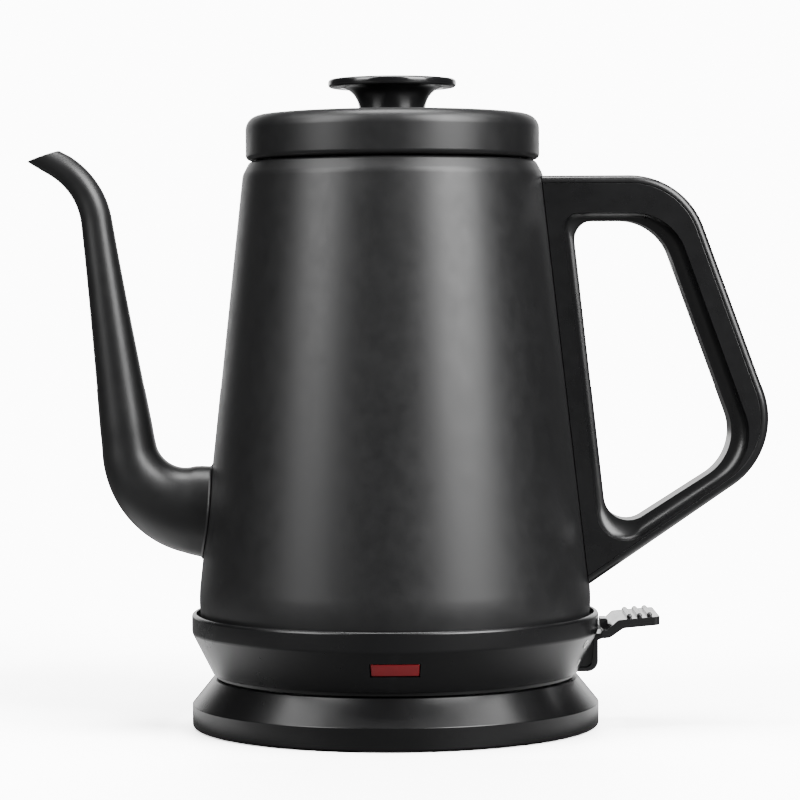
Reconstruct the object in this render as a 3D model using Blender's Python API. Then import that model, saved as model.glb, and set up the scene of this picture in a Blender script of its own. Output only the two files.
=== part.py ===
"""Gooseneck electric kettle on a round power base.

Metres, +Z up. The origin is on the kettle's axis, on the surface that the base stands on.
The handle is at +X, the spout at -X and the indicator window at -Y.
"""
import math

import bmesh
import bpy
from mathutils import Matrix, Vector

# ---------------------------------------------------------------- driving dimensions
GAP = 0.0003                  # clearance between pieces that touch
PLASTIC_WALL = 0.0020
STEEL_WALL = 0.0008

BASE_RADIUS = 0.0700
BASE_TOP_RADIUS = 0.0628
BASE_CLEARANCE = 0.0005       # base's underside above the table
BASE_CREASE_HEIGHT = 0.0080   # where the upright side meets the cone
BASE_CONE_RISE = 0.0089
BASE_RIM_WIDTH = 0.0030
BASE_DISH_DEPTH = 0.0044
BASE_PLATE_THICKNESS = 0.0024
FOOT_RADIUS = 0.0050
FOOT_INSET = 0.0010
FOOT_CIRCLE = 0.0560
FOOT_COUNT = 4
BASE_SCREW_CIRCLE = 0.0420
BASE_SCREW_COUNT = 3
BASE_SCREW_RADIUS = 0.0014
BASE_SCREW_HEAD = 0.0028
BASE_SCREW_HEAD_HEIGHT = 0.0013
BASE_BOSS_RADIUS = 0.0035

PLUG_RADIUS = 0.0213          # boss of the base-side connector
PLUG_RISE = 0.0125            # boss above the floor of the base's dish
SLOT_WIDTH = 0.0032           # ring slots in the boss
SLOT_DEPTH = 0.0090
LINE_RING_RADIUS = 0.0145
NEUTRAL_RING_RADIUS = 0.0085
RING_THICKNESS = 0.0008
EARTH_PIN_RADIUS = 0.0024
EARTH_HOLE_RADIUS = 0.0033
SHROUD_CLEARANCE = 0.0007

COLLAR_LIFT = 0.0017          # gap between base and collar
COLLAR_RADIUS = 0.0700
COLLAR_FOOT_RADIUS = 0.0628
COLLAR_CONE_RISE = 0.0138
COLLAR_BAND_HEIGHT = 0.0079
COLLAR_WALL = 0.0023
FOOT_RING_INSET = 0.0010       # ring under the collar's foot, inward from its edge
FOOT_RING_GAP = 0.0004         # ring above the base's rim
COVER_THICKNESS = 0.0018
COVER_SCREW_RADIUS = 0.0011
COVER_SCREW_HEAD = 0.0023
COVER_SCREW_HEAD_HEIGHT = 0.0010
COVER_SCREW_REACH = 0.0036     # screw's end above the cover
COVER_SCREW_INSET = 0.0040     # outward from the cover's opening

BODY_HEIGHT = 0.1539          # above the collar's lip
BODY_FOOT_RADIUS = 0.0680     # at the collar's lip
BODY_SHOULDER_RADIUS = 0.0516
BODY_SHOULDER_DEPTH = 0.0045
BODY_SEAT_DEPTH = 0.0043      # how far the body stands inside the collar
MOUTH_RADIUS = 0.0452
MOUTH_LIP_DEPTH = 0.0040

LID_RADIUS = 0.0505
LID_HEIGHT = 0.0153
LID_DOME = 0.0006
LID_SEAT_GAP = 0.0005
LID_PLUG_DEPTH = 0.0085
LID_PLUG_CLEARANCE = 0.0022
KNOB_RADIUS = 0.0220
KNOB_HEIGHT = 0.0124
KNOB_RIM = 0.0028
KNOB_STEM_RADIUS = 0.0113

SPOUT_ROOT_HEIGHT = 0.0731    # centre of the spout's root
SPOUT_ELBOW = (0.0889, 0.0773)
SPOUT_CREST = (0.1038, 0.1873)
SPOUT_TIP = (0.12005, 0.19665)
SPOUT_ELBOW_RADIUS = 0.0240
SPOUT_CREST_RADIUS = 0.0270
SPOUT_TIP_RADIUS = 0.0044
SPOUT_CREST_TUBE = 0.0053
SPOUT_RISER_TUBE = 0.0090
SPOUT_ROOT_TUBE = 0.0163
SPOUT_ROOT_FLATNESS = 0.72    # width of the root as a share of its height
SPOUT_TIP_SHEAR = 0.88        # slant of the mouth, longer below
SPOUT_WALL = 0.0006

HANDLE_WIDTH = 0.0220
HANDLE_TOP_DROP = 0.0054      # top face below the body's rim
HANDLE_TOP_REACH = 0.0480     # upper corner, outward from the body
HANDLE_KNUCKLE_REACH = 0.0717
HANDLE_KNUCKLE_DROP = 0.0940  # below the top face
HANDLE_FOOT_DROP = 0.1395
HANDLE_TOP_FILLET = 0.0270
HANDLE_KNUCKLE_FILLET = 0.0276
HANDLE_PLATE = 0.0080         # thickness along the body
HANDLE_BAR = 0.0154           # top bar
HANDLE_GRIP = 0.0138
HANDLE_STRUT_TOP = 0.0068     # lower strut at the knuckle
HANDLE_STRUT_FOOT = 0.0096    # lower strut at the body
HANDLE_COVER = 0.0026         # strip along the handle's back
HANDLE_SCREW_DROPS = (0.0240, 0.1020)
HANDLE_SCREW_RADIUS = 0.0014
HANDLE_SCREW_HEAD = 0.0027
HANDLE_SCREW_HEAD_HEIGHT = 0.0015
HANDLE_SCREW_SINK = 0.0022     # head's seat below the plate's face
HANDLE_BOSS_RADIUS = 0.0034
HANDLE_BOSS_RISE = 0.0043      # boss outward from the body
FINGER_GAP_FILLETS = (0.0065, 0.0180, 0.0178, 0.0086)
COVE_FILLETS = (0.0050, 0.0190, 0.0190, 0.0100)
COVE_WIDTHS = ((0.0034, 0.0034), (0.0026, 0.0026), (0.0052, 0.0052), (0.0036, 0.0060))
COVE_DEPTH = 0.0040

LEVER_PIVOT_INSET = 0.0038    # pivot inward from the collar's foot
LEVER_PIVOT_HEIGHT = 0.0084   # above the collar's foot
LEVER_THICKNESS = 0.0028
LEVER_ARM_WIDTH = 0.0138
PADDLE_WIDTH = 0.0320
PADDLE_REACH = 0.0202         # tip outward from the collar
PADDLE_LENGTH = 0.0142        # from the tip to the bend
PADDLE_RISE = 0.0170          # tip's underside above the collar's foot
PADDLE_SLOPE_RISE = 0.0011    # from the bend to the tip
STEP_RISE = 0.0124            # underside of the strip beside the collar, above the collar's foot
PADDLE_RIBS = 3
RIB_PITCH = 0.00345
RIB_RADIUS = 0.0009
RIB_INSET = 0.0035            # from the paddle's sides
STOP_WIDTH = 0.0080
STOP_LENGTH = 0.0028
STOP_HEIGHT = 0.0028
PIN_RADIUS = 0.0010

WINDOW_WIDTH = 0.0160
WINDOW_HEIGHT = 0.0046        # along the collar's cone
WINDOW_LEVEL = 0.0077         # centre above the collar's foot
LENS_STEP = 0.0002             # lens below the cone's surface
LENS_STAND = 0.0004            # lens beyond the wall, inside
LAMP_RADIUS = 0.0014
LAMP_LENGTH = 0.0110
HOLDER_WIDTH = 0.0164
HOLDER_HEIGHT = 0.0044
LEAD_RADIUS = 0.0005

HOUSING_WALL = 0.0040
HOUSING_FLANGE = 0.0036        # flange outward from the housing
HOUSING_FLANGE_HEIGHT = 0.0046
ELEMENT_CLEARANCE = 0.0024     # between the housing and the element's tube
ELEMENT_TUBE_RADIUS = 0.0032
HEAT_PLATE_INSET = 0.0017      # between the heat plate and the steam tube
HEAT_PLATE_THICKNESS = 0.0025
STEAM_TUBE_RADIUS = 0.0032
STEAM_TUBE_OFFSET = 0.0474
GLAND_RADIUS = 0.0043
GLAND_HOLE_RADIUS = 0.0031
GLAND_HEIGHT = 0.0068

FULL_TURN = 36                # facets of the large turned pieces
SMALL_TURN = 24
TINY_TURN = 16

# ---------------------------------------------------------------- worked-out levels
base_plate_top = BASE_CLEARANCE + BASE_PLATE_THICKNESS
base_top = BASE_CREASE_HEIGHT + BASE_CONE_RISE
dish_floor = base_top - BASE_DISH_DEPTH
plug_top = dish_floor + PLUG_RISE
slot_floor = plug_top - SLOT_DEPTH
collar_foot = base_top + COLLAR_LIFT
collar_edge = collar_foot + COLLAR_CONE_RISE
collar_top = collar_edge + COLLAR_BAND_HEIGHT
cover_low = collar_foot + GAP
cover_high = cover_low + COVER_THICKNESS
body_foot = collar_top - BODY_SEAT_DEPTH
body_rim = collar_top + BODY_HEIGHT
floor_low = body_foot + GAP
floor_high = floor_low + STEEL_WALL
heat_plate_high = floor_low - GAP
heat_plate_low = heat_plate_high - HEAT_PLATE_THICKNESS
connector_low = plug_top + SHROUD_CLEARANCE
lid_low = body_rim + LID_SEAT_GAP
lid_high = lid_low + LID_HEIGHT
handle_top = body_rim - HANDLE_TOP_DROP
collar_slope = (COLLAR_RADIUS - COLLAR_FOOT_RADIUS) / COLLAR_CONE_RISE
shroud_inner = PLUG_RADIUS + SHROUD_CLEARANCE
shroud_outer = shroud_inner + PLASTIC_WALL
shroud_roof = connector_low + PLASTIC_WALL
cover_opening = shroud_outer + SHROUD_CLEARANCE
housing_bore = shroud_outer + GAP + 0.0001
housing_radius = housing_bore + HOUSING_WALL
housing_flange = housing_radius + HOUSING_FLANGE
element_ring = housing_radius + ELEMENT_CLEARANCE + ELEMENT_TUBE_RADIUS
heat_plate_radius = STEAM_TUBE_OFFSET - STEAM_TUBE_RADIUS - HEAT_PLATE_INSET


def body_radius(z):
    """Outer radius of the body's cone at a height."""
    shoulder = body_rim - BODY_SHOULDER_DEPTH
    share = (z - collar_top) / (shoulder - collar_top)
    return BODY_FOOT_RADIUS + share * (BODY_SHOULDER_RADIUS - BODY_FOOT_RADIUS)


def cone_radius(z):
    """Outer radius of the collar's cone at a height."""
    return COLLAR_FOOT_RADIUS + collar_slope * (z - collar_foot)


# ---------------------------------------------------------------- outlines
def rounded(corners, closed=True, steps=4):
    """Outline through corners (a, b, fillet radius), each fillet an arc of some steps."""
    points = []
    count = len(corners)
    for i, (a, b, radius) in enumerate(corners):
        here = Vector((a, b))
        at_end = not closed and i in (0, count - 1)
        if radius <= 0 or at_end:
            points.append(here)
            continue
        before = (Vector(corners[i - 1][:2]) - here).normalized()
        after = (Vector(corners[(i + 1) % count][:2]) - here).normalized()
        half = before.angle(after) / 2
        centre = here + (before + after).normalized() * radius / math.sin(half)
        start = here + before * radius / math.tan(half) - centre
        end = here + after * radius / math.tan(half) - centre
        sweep = start.angle_signed(end)
        for k in range(steps + 1):
            turn = Matrix.Rotation(-sweep * k / steps, 2)
            points.append(centre + turn @ start)
    return points


def circle(a, b, radius, count):
    """Points of a circle about (a, b)."""
    angles = [math.tau * i / count for i in range(count)]
    return [Vector((a + radius * math.cos(t), b + radius * math.sin(t))) for t in angles]


def crossing(line_a, line_b):
    """Point where two lines, each given by two points, cross."""
    p, q = line_a
    r, s = line_b
    d = q - p
    e = s - r
    scale = (r - p).cross(e) / d.cross(e)
    return p + d * scale


def inset_line(p, q, at_p, at_q):
    """Line from p to q, moved to its right by at_p at p and by at_q at q."""
    along = (q - p).normalized()
    right = Vector((along.y, -along.x))
    return p + right * at_p, q + right * at_q


# ---------------------------------------------------------------- making solids
def finish(name, colour, roughness, metallic=0.0, alpha=1.0):
    """Principled material."""
    material = bpy.data.materials.new(name)
    material.use_nodes = True
    shader = material.node_tree.nodes["Principled BSDF"]
    shader.inputs["Base Color"].default_value = (*colour, 1.0)
    shader.inputs["Roughness"].default_value = roughness
    shader.inputs["Metallic"].default_value = metallic
    shader.inputs["Alpha"].default_value = alpha
    material.diffuse_color = (*colour, alpha)
    return material


def place(name, mesh, look, group, at=(0, 0, 0)):
    """Object from a mesh, smooth where its facets are shallow, under its group's empty."""
    mesh.shade_smooth()
    mesh.set_sharp_from_angle(angle=math.radians(35))
    obj = bpy.data.objects.new(name, mesh)
    bpy.context.scene.collection.objects.link(obj)
    if look:
        own = look.copy()
        own.name = name + "_finish"
        mesh.materials.append(own)
    obj.parent = group
    origin = group.location if group else Vector()
    obj.location = Vector(at) - origin
    return obj


def lofted(name, rings, look, group, ring_shaped=False, at=(0, 0, 0)):
    """Closed solid through rings of points; a ring-shaped one joins its last ring to its first."""
    bm = bmesh.new()
    loops = [[bm.verts.new(Vector(p) - Vector(at)) for p in ring] for ring in rings]
    spans = list(zip(loops, loops[1:]))
    if ring_shaped:
        spans.append((loops[-1], loops[0]))
    for low, high in spans:
        count = max(len(low), len(high))
        for i in range(count):
            j = (i + 1) % count
            corners = [low[i % len(low)], low[j % len(low)], high[j % len(high)], high[i % len(high)]]
            bm.faces.new(list(dict.fromkeys(corners)))
    if not ring_shaped:
        for loop in (loops[0], loops[-1]):
            if len(loop) > 2:
                bm.faces.new(loop)
    bmesh.ops.recalc_face_normals(bm, faces=bm.faces)
    mesh = bpy.data.meshes.new(name)
    bm.to_mesh(mesh)
    bm.free()
    return place(name, mesh, look, group, at)


def turned(name, profile, look, group, count=FULL_TURN, centre=(0, 0)):
    """Solid of revolution about a vertical axis, from (radius, z) points."""
    rings = []
    for radius, z in profile:
        if radius < 1e-7:
            rings.append([(centre[0], centre[1], z)])
        else:
            rings.append([(p.x, p.y, z) for p in circle(*centre, radius, count)])
    return lofted(name, rings, look, group, ring_shaped=profile[0][0] > 1e-7)


def extruded(name, outline, half_width, look, group, middle=0.0, at=(0, 0, 0)):
    """Outline of (x, z) points, extruded along Y."""
    rings = [[(x, y, z) for x, z in outline] for y in (middle - half_width, middle + half_width)]
    return lofted(name, rings, look, group, at=at)


def block(name, low, high, look, group, at=(0, 0, 0)):
    """Box between two corners."""
    outline = [(low[0], low[2]), (high[0], low[2]), (high[0], high[2]), (low[0], high[2])]
    half = (high[1] - low[1]) / 2
    return extruded(name, outline, half, look, group, middle=low[1] + half, at=at)


def sector(name, section, half_angle, look, group, steps=6):
    """Section of (radius, z) points, swept about Z on both sides of -Y."""
    rings = []
    for k in range(steps + 1):
        angle = -math.pi / 2 + half_angle * (2 * k / steps - 1)
        rings.append([(r * math.cos(angle), r * math.sin(angle), z) for r, z in section])
    return lofted(name, rings, look, group)


def stepped(name, start, end, profile, look, group, count=TINY_TURN):
    """Turned piece on the line from start to end, from (radius, distance from start) points."""
    turn = (Vector(end) - Vector(start)).to_track_quat("Z", "Y")
    rings = []
    for r, h in profile:
        points = [Vector((p.x, p.y, h)) for p in circle(0, 0, r, count)] if r else [Vector((0, 0, h))]
        rings.append([Vector(start) + turn @ p for p in points])
    return lofted(name, rings, look, group)


def rod(name, start, end, radius, look, group, count=TINY_TURN, head=None):
    """Cylinder from start to end; head is the (radius, length) of a screw's head at its start."""
    length = (Vector(end) - Vector(start)).length
    profile = [(0, 0), (radius, 0), (radius, length), (0, length)]
    if head:
        profile = [(0, 0), (head[0], 0), (head[0], head[1]), (radius, head[1])] + profile[2:]
    return stepped(name, start, end, profile, look, group, count)


def wire(name, points, radius, look, group, sides=2):
    """Round wire through points, with filled ends."""
    curve = bpy.data.curves.new(name, "CURVE")
    curve.dimensions = "3D"
    curve.bevel_depth = radius
    curve.bevel_resolution = sides
    curve.use_fill_caps = True
    spline = curve.splines.new("POLY")
    spline.points.add(len(points) - 1)
    for item, point in zip(spline.points, points):
        item.co = (*point, 1.0)
    own = look.copy()
    own.name = name + "_finish"
    curve.materials.append(own)
    obj = bpy.data.objects.new(name, curve)
    bpy.context.scene.collection.objects.link(obj)
    obj.parent = group
    return obj


def combine(target, tool, operation="DIFFERENCE"):
    """Boolean with a tool that stays in the file as a wire guide."""
    tool.hide_render = True
    tool.display_type = "WIRE"
    modifier = target.modifiers.new(operation.title() + "_" + tool.name, "BOOLEAN")
    modifier.operation = operation
    modifier.object = tool
    return target


def soften(target, width, segments=2, angle=50):
    """Bevel on the edges that are sharper than an angle."""
    modifier = target.modifiers.new("Softened", "BEVEL")
    modifier.width = width
    modifier.segments = segments
    modifier.limit_method = "ANGLE"
    modifier.angle_limit = math.radians(angle)
    return target


def around(count, radius, start=0.0):
    """Evenly spaced (x, y) places on a circle."""
    angles = [start + math.tau * i / count for i in range(count)]
    return [(radius * math.cos(t), radius * math.sin(t)) for t in angles]


# ---------------------------------------------------------------- start from nothing
for old in list(bpy.data.objects):
    bpy.data.objects.remove(old, do_unlink=True)

BLACK_PLASTIC = finish("black_plastic", (0.018, 0.018, 0.019), 0.42)
GLOSS_PLASTIC = finish("gloss_plastic", (0.010, 0.010, 0.011), 0.15)
POWDER_COAT = finish("powder_coat", (0.022, 0.022, 0.023), 0.48)
WHITE_PLASTIC = finish("white_plastic", (0.72, 0.71, 0.68), 0.45)
STEEL = finish("steel", (0.55, 0.55, 0.56), 0.28, metallic=1.0)
ALUMINIUM = finish("aluminium", (0.72, 0.73, 0.74), 0.40, metallic=1.0)
BRASS = finish("brass", (0.72, 0.55, 0.25), 0.30, metallic=1.0)
RUBBER = finish("rubber", (0.03, 0.03, 0.03), 0.80)
SILICONE = finish("silicone", (0.60, 0.60, 0.58), 0.60)
RED_LENS = finish("red_lens", (0.35, 0.01, 0.015), 0.20)
LAMP_GLASS = finish("lamp_glass", (0.85, 0.80, 0.75), 0.10, alpha=0.4)
RED_LEAD = finish("red_lead", (0.45, 0.03, 0.03), 0.45)


def group(name, location=(0, 0, 0), parent=None):
    """Empty that a moving body's pieces hang on, on that body's joint axis."""
    empty = bpy.data.objects.new(name, None)
    bpy.context.scene.collection.objects.link(empty)
    empty.parent = parent
    empty.location = Vector(location) - (parent.location if parent else Vector())
    return empty


lever_pivot = (COLLAR_FOOT_RADIUS - LEVER_PIVOT_INSET, 0.0, collar_foot + LEVER_PIVOT_HEIGHT)
BASE = group("base")
CONNECTOR = group("connector")
KETTLE = group("kettle")
LID = group("lid")
LEVER = group("lever", lever_pivot)


# ---------------------------------------------------------------- power base
def make_base_shells():
    """Upper shell with its cone, rim, dish and screw bosses, and the plate under it."""
    wall = PLASTIC_WALL
    cone = (BASE_RADIUS - BASE_TOP_RADIUS) / BASE_CONE_RISE
    dish_radius = BASE_TOP_RADIUS - BASE_RIM_WIDTH
    dish_slope = 0.5 * BASE_DISH_DEPTH
    bore = PLUG_RADIUS + GAP
    roof = base_top - wall
    ceiling = dish_floor - wall
    shell = turned("base_upper_shell", rounded([
        (BASE_RADIUS, BASE_CLEARANCE, 0.0012),
        (BASE_RADIUS, BASE_CREASE_HEIGHT, 0.0007),
        (BASE_TOP_RADIUS, base_top, 0.0010),
        (dish_radius, base_top, 0.0008),
        (dish_radius - dish_slope, dish_floor, 0.0008),
        (bore, dish_floor, 0),
        (bore, ceiling, 0),
        (dish_radius - dish_slope + wall, ceiling, 0),
        (dish_radius + wall, roof, 0),
        (BASE_TOP_RADIUS + cone * wall - wall, roof, 0),
        (BASE_RADIUS - wall, BASE_CREASE_HEIGHT, 0),
        (BASE_RADIUS - wall, BASE_CLEARANCE, 0),
    ], steps=2), BLACK_PLASTIC, BASE)

    plate_radius = BASE_RADIUS - wall - GAP
    plate = turned("base_lower_plate", [
        (0, BASE_CLEARANCE),
        (plate_radius, BASE_CLEARANCE),
        (plate_radius, base_plate_top),
        (0, base_plate_top),
    ], BLACK_PLASTIC, BASE)

    boss_low = base_plate_top + GAP
    shank_top = ceiling - 0.0015
    head_low = BASE_CLEARANCE + GAP
    head_seat = BASE_CLEARANCE + BASE_SCREW_HEAD_HEIGHT
    for i, (x, y) in enumerate(around(BASE_SCREW_COUNT, BASE_SCREW_CIRCLE, math.radians(30))):
        boss = rod(f"base_boss_{i + 1}", (x, y, boss_low), (x, y, ceiling + wall / 3), BASE_BOSS_RADIUS,
                   None, BASE, 12)
        combine(shell, boss, "UNION")
        drilling = stepped(f"base_drilling_{i + 1}", (x, y, 0), (x, y, 1), [
            (0, 0),
            (BASE_SCREW_HEAD + GAP, 0),
            (BASE_SCREW_HEAD + GAP, head_seat),
            (BASE_SCREW_RADIUS + GAP, head_seat),
            (BASE_SCREW_RADIUS + GAP, shank_top + GAP),
            (0, shank_top + GAP),
        ], None, BASE)
        combine(shell, drilling)
        combine(plate, drilling)
        rod(f"base_screw_{i + 1}", (x, y, head_low), (x, y, shank_top), BASE_SCREW_RADIUS, STEEL, BASE,
            head=(BASE_SCREW_HEAD, head_seat - GAP - GAP - head_low))

    for i, (x, y) in enumerate(around(FOOT_COUNT, FOOT_CIRCLE, math.radians(45))):
        seat = BASE_CLEARANCE + FOOT_INSET
        pocket = rod(f"foot_pocket_{i + 1}", (x, y, 0), (x, y, seat), FOOT_RADIUS + GAP, None, BASE)
        combine(plate, pocket)
        turned(f"base_foot_{i + 1}", rounded([
            (0, 0, 0),
            (FOOT_RADIUS, 0, 0.0004),
            (FOOT_RADIUS, seat - GAP, 0),
            (0, seat - GAP, 0),
        ], closed=False, steps=2), RUBBER, BASE, TINY_TURN, (x, y))
    return shell, plate


def make_base_connector():
    """Round boss with two ring slots and a centre hole, and its three contact blades."""
    half = SLOT_WIDTH / 2
    rings = (LINE_RING_RADIUS, NEUTRAL_RING_RADIUS)
    flange = PLUG_RADIUS + 0.0030
    flange_top = dish_floor - PLASTIC_WALL - GAP
    stand = base_plate_top + GAP
    profile = [(0, slot_floor, 0), (EARTH_HOLE_RADIUS, slot_floor, 0), (EARTH_HOLE_RADIUS, plug_top, 0)]
    for ring in reversed(rings):
        profile += [
            (ring - half, plug_top, 0),
            (ring - half, slot_floor, 0),
            (ring + half, slot_floor, 0),
            (ring + half, plug_top, 0),
        ]
    profile += [
        (PLUG_RADIUS, plug_top, 0.0010),
        (PLUG_RADIUS, flange_top, 0),
        (flange, flange_top, 0),
        (flange, stand, 0),
        (0, stand, 0),
    ]
    turned("base_connector", rounded(profile, closed=False, steps=2), BLACK_PLASTIC, BASE, SMALL_TURN)

    blade_low = slot_floor + GAP
    blade_high = plug_top - 0.0015
    for name, ring, angle in (("line", rings[0], 0), ("neutral", rings[1], 120)):
        inner = ring + RING_THICKNESS / 2 + GAP + 0.0001
        blade = block("base_contact_" + name, (inner, -0.0012, blade_low),
                      (inner + 0.0004, 0.0012, blade_high), BRASS, BASE)
        blade.rotation_euler.z = math.radians(angle)
    inner = EARTH_PIN_RADIUS + GAP
    blade = block("base_contact_earth", (inner, -0.0006, blade_low), (inner + 0.0002, 0.0006, blade_high),
                  BRASS, BASE)
    blade.rotation_euler.z = math.radians(240)


def make_cord_gland(shells):
    """Grommet in the base's back for the mains cord, and the clamp that would hold it."""
    inner = BASE_RADIUS - 0.0085
    outer = BASE_RADIUS + 0.0010
    slot = rod("gland_slot", (0, inner, GLAND_HEIGHT), (0, outer + 0.004, GLAND_HEIGHT),
               GLAND_RADIUS + GAP, None, BASE, SMALL_TURN)
    for shell in shells:
        combine(shell, slot)
    gland = rod("cord_gland", (0, inner, GLAND_HEIGHT), (0, outer, GLAND_HEIGHT),
                GLAND_RADIUS, RUBBER, BASE, SMALL_TURN)
    hole = rod("gland_hole", (0, inner - 0.002, GLAND_HEIGHT), (0, outer + 0.002, GLAND_HEIGHT),
               GLAND_HOLE_RADIUS, None, BASE, SMALL_TURN)
    combine(gland, hole)
    back = inner - 0.0040
    cord_radius = GLAND_HOLE_RADIUS - 0.0002
    clamp = block("cord_clamp", (-0.0095, back - 0.0070, base_plate_top + GAP),
                  (0.0095, back, dish_floor - PLASTIC_WALL - GAP), BLACK_PLASTIC, BASE)
    channel = rod("clamp_channel", (0, back - 0.010, GLAND_HEIGHT), (0, back + 0.003, GLAND_HEIGHT),
                  cord_radius, None, BASE)
    combine(clamp, channel)
    mouth = block("clamp_mouth", (-cord_radius, back - 0.010, 0), (cord_radius, back + 0.003, GLAND_HEIGHT),
                  None, BASE)
    combine(clamp, mouth)


# ---------------------------------------------------------------- kettle-side connector
def make_kettle_connector():
    """Round shroud that drops over the base's boss, with two contact rings and an earth pin."""
    turned("kettle_connector", rounded([
        (0, connector_low, 0),
        (shroud_inner, connector_low, 0),
        (shroud_inner, collar_foot + 0.0008, 0.0005),
        (shroud_outer, collar_foot + 0.0008, 0.0005),
        (shroud_outer, shroud_roof, 0.0008),
        (0, shroud_roof, 0),
    ], closed=False, steps=1), BLACK_PLASTIC, CONNECTOR, SMALL_TURN)
    half = RING_THICKNESS / 2
    ring_top = connector_low - GAP
    ring_low = slot_floor + 0.0012
    for name, radius in (("line", LINE_RING_RADIUS), ("neutral", NEUTRAL_RING_RADIUS)):
        turned("contact_ring_" + name, [
            (radius + half, ring_low),
            (radius + half, ring_top),
            (radius - half, ring_top),
            (radius - half, ring_low),
        ], BRASS, CONNECTOR, SMALL_TURN)
    turned("earth_pin", rounded([
        (0, slot_floor + 0.0008, 0),
        (EARTH_PIN_RADIUS, slot_floor + 0.0008, 0.0012),
        (EARTH_PIN_RADIUS, ring_top, 0),
        (0, ring_top, 0),
    ], closed=False, steps=3), BRASS, CONNECTOR, TINY_TURN)


# ---------------------------------------------------------------- collar
def make_collar():
    """Ring with its band and inward cone, the window and lever slot in it, and its bottom cover."""
    seat = body_foot - GAP - 0.0001
    inner_edge = collar_edge - 0.0002
    snap_low = cover_high + GAP
    snap_high = snap_low + 0.0015
    snap_radius = COLLAR_FOOT_RADIUS - COLLAR_WALL - 0.0022
    floor_radius = COLLAR_FOOT_RADIUS - COLLAR_WALL
    ring_radius = COLLAR_FOOT_RADIUS - FOOT_RING_INSET
    ring_low = base_top + FOOT_RING_GAP
    collar = turned("collar", rounded([
        (COLLAR_FOOT_RADIUS, collar_foot, 0.0005),
        (COLLAR_RADIUS - 0.0002, collar_edge, 0.0008),
        (COLLAR_RADIUS, collar_edge + 0.0010, 0),
        (COLLAR_RADIUS, collar_top, 0.0006),
        (body_radius(collar_top) + GAP, collar_top, 0.0005),
        (body_radius(seat) + GAP, seat, 0),
        (BODY_FOOT_RADIUS - 0.0025, seat, 0),
        (BODY_FOOT_RADIUS - 0.0025, seat - 0.0015, 0),
        (cone_radius(inner_edge) - COLLAR_WALL, inner_edge - 0.0012, 0),
        (cone_radius(snap_high) - COLLAR_WALL, snap_high, 0),
        (snap_radius, snap_high, 0),
        (snap_radius, snap_low, 0),
        (floor_radius, snap_low, 0),
        (floor_radius, ring_low, 0),
        (ring_radius, ring_low, 0),
        (ring_radius, collar_foot, 0),
    ], steps=2), BLACK_PLASTIC, KETTLE)
    slot_half = LEVER_ARM_WIDTH / 2 + 0.0008
    slot = block("lever_slot", (lever_pivot[0] - 0.0030, -slot_half, collar_foot - 0.002),
                 (COLLAR_RADIUS + 0.002, slot_half, collar_edge - 0.0003), None, KETTLE)
    combine(collar, slot)
    return collar


def make_indicator(collar):
    """Red window in the cone's front, the lamp behind it, its holder and its two leads."""
    level = collar_foot + WINDOW_LEVEL
    lean = math.atan(collar_slope)
    along = Vector((math.sin(lean), math.cos(lean)))
    outward = Vector((math.cos(lean), -math.sin(lean)))
    middle = Vector((cone_radius(level), level))

    def window_section(high, front, back):
        half = high / 2
        return [
            middle + along * half + outward * front,
            middle - along * half + outward * front,
            middle - along * half - outward * back,
            middle + along * half - outward * back,
        ]

    half_angle = WINDOW_WIDTH / 2 / cone_radius(level)
    margin = GAP / cone_radius(level)
    depth = COLLAR_WALL * math.cos(lean)
    hole = sector("window_hole", window_section(WINDOW_HEIGHT + 2 * GAP, 0.003, depth + 0.002),
                  half_angle + margin, None, KETTLE)
    combine(collar, hole)
    sector("indicator_lens", window_section(WINDOW_HEIGHT, -LENS_STEP, depth + LENS_STAND), half_angle,
           RED_LENS, KETTLE)

    # the holder's lower front corners are what comes nearest to the cone's wall
    half_width = HOLDER_WIDTH / 2
    half_height = HOLDER_HEIGHT / 2
    wall = cone_radius(level - half_height) - COLLAR_WALL
    front = (LENS_STAND + GAP) / math.cos(lean) - math.sqrt(wall ** 2 - half_width ** 2)
    lamp_y = front + 0.0008
    lamp_half = LAMP_LENGTH / 2
    rod("indicator_lamp", (-lamp_half, lamp_y, level), (lamp_half, lamp_y, level), LAMP_RADIUS,
        LAMP_GLASS, KETTLE, 12)
    back = lamp_y + LAMP_RADIUS + GAP + 0.0015
    holder = block("lamp_holder", (-half_width, front, level - half_height),
                   (half_width, back, level + half_height), WHITE_PLASTIC, KETTLE)
    trough = block("lamp_trough", (-lamp_half - GAP, front - 0.002, level - 0.004),
                   (lamp_half + GAP, lamp_y + LAMP_RADIUS + GAP, level + 0.004), None, KETTLE)
    combine(holder, trough)

    low = cover_high + 0.0035
    for name, side in (("a", -1), ("b", 1)):
        x = side * (lamp_half - 0.0010)
        top = level + LAMP_RADIUS + GAP + LEAD_RADIUS
        path = rounded([
            (lamp_y, top, 0),
            (back + 0.0020, level + 0.0036, 0.0015),
            (back + 0.0100, low, 0.0030),
            (-housing_flange - GAP, low, 0),
        ], closed=False, steps=4)
        wire("lamp_lead_" + name, [(x, y, z) for y, z in path], LEAD_RADIUS, RED_LEAD, KETTLE, 1)


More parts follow.
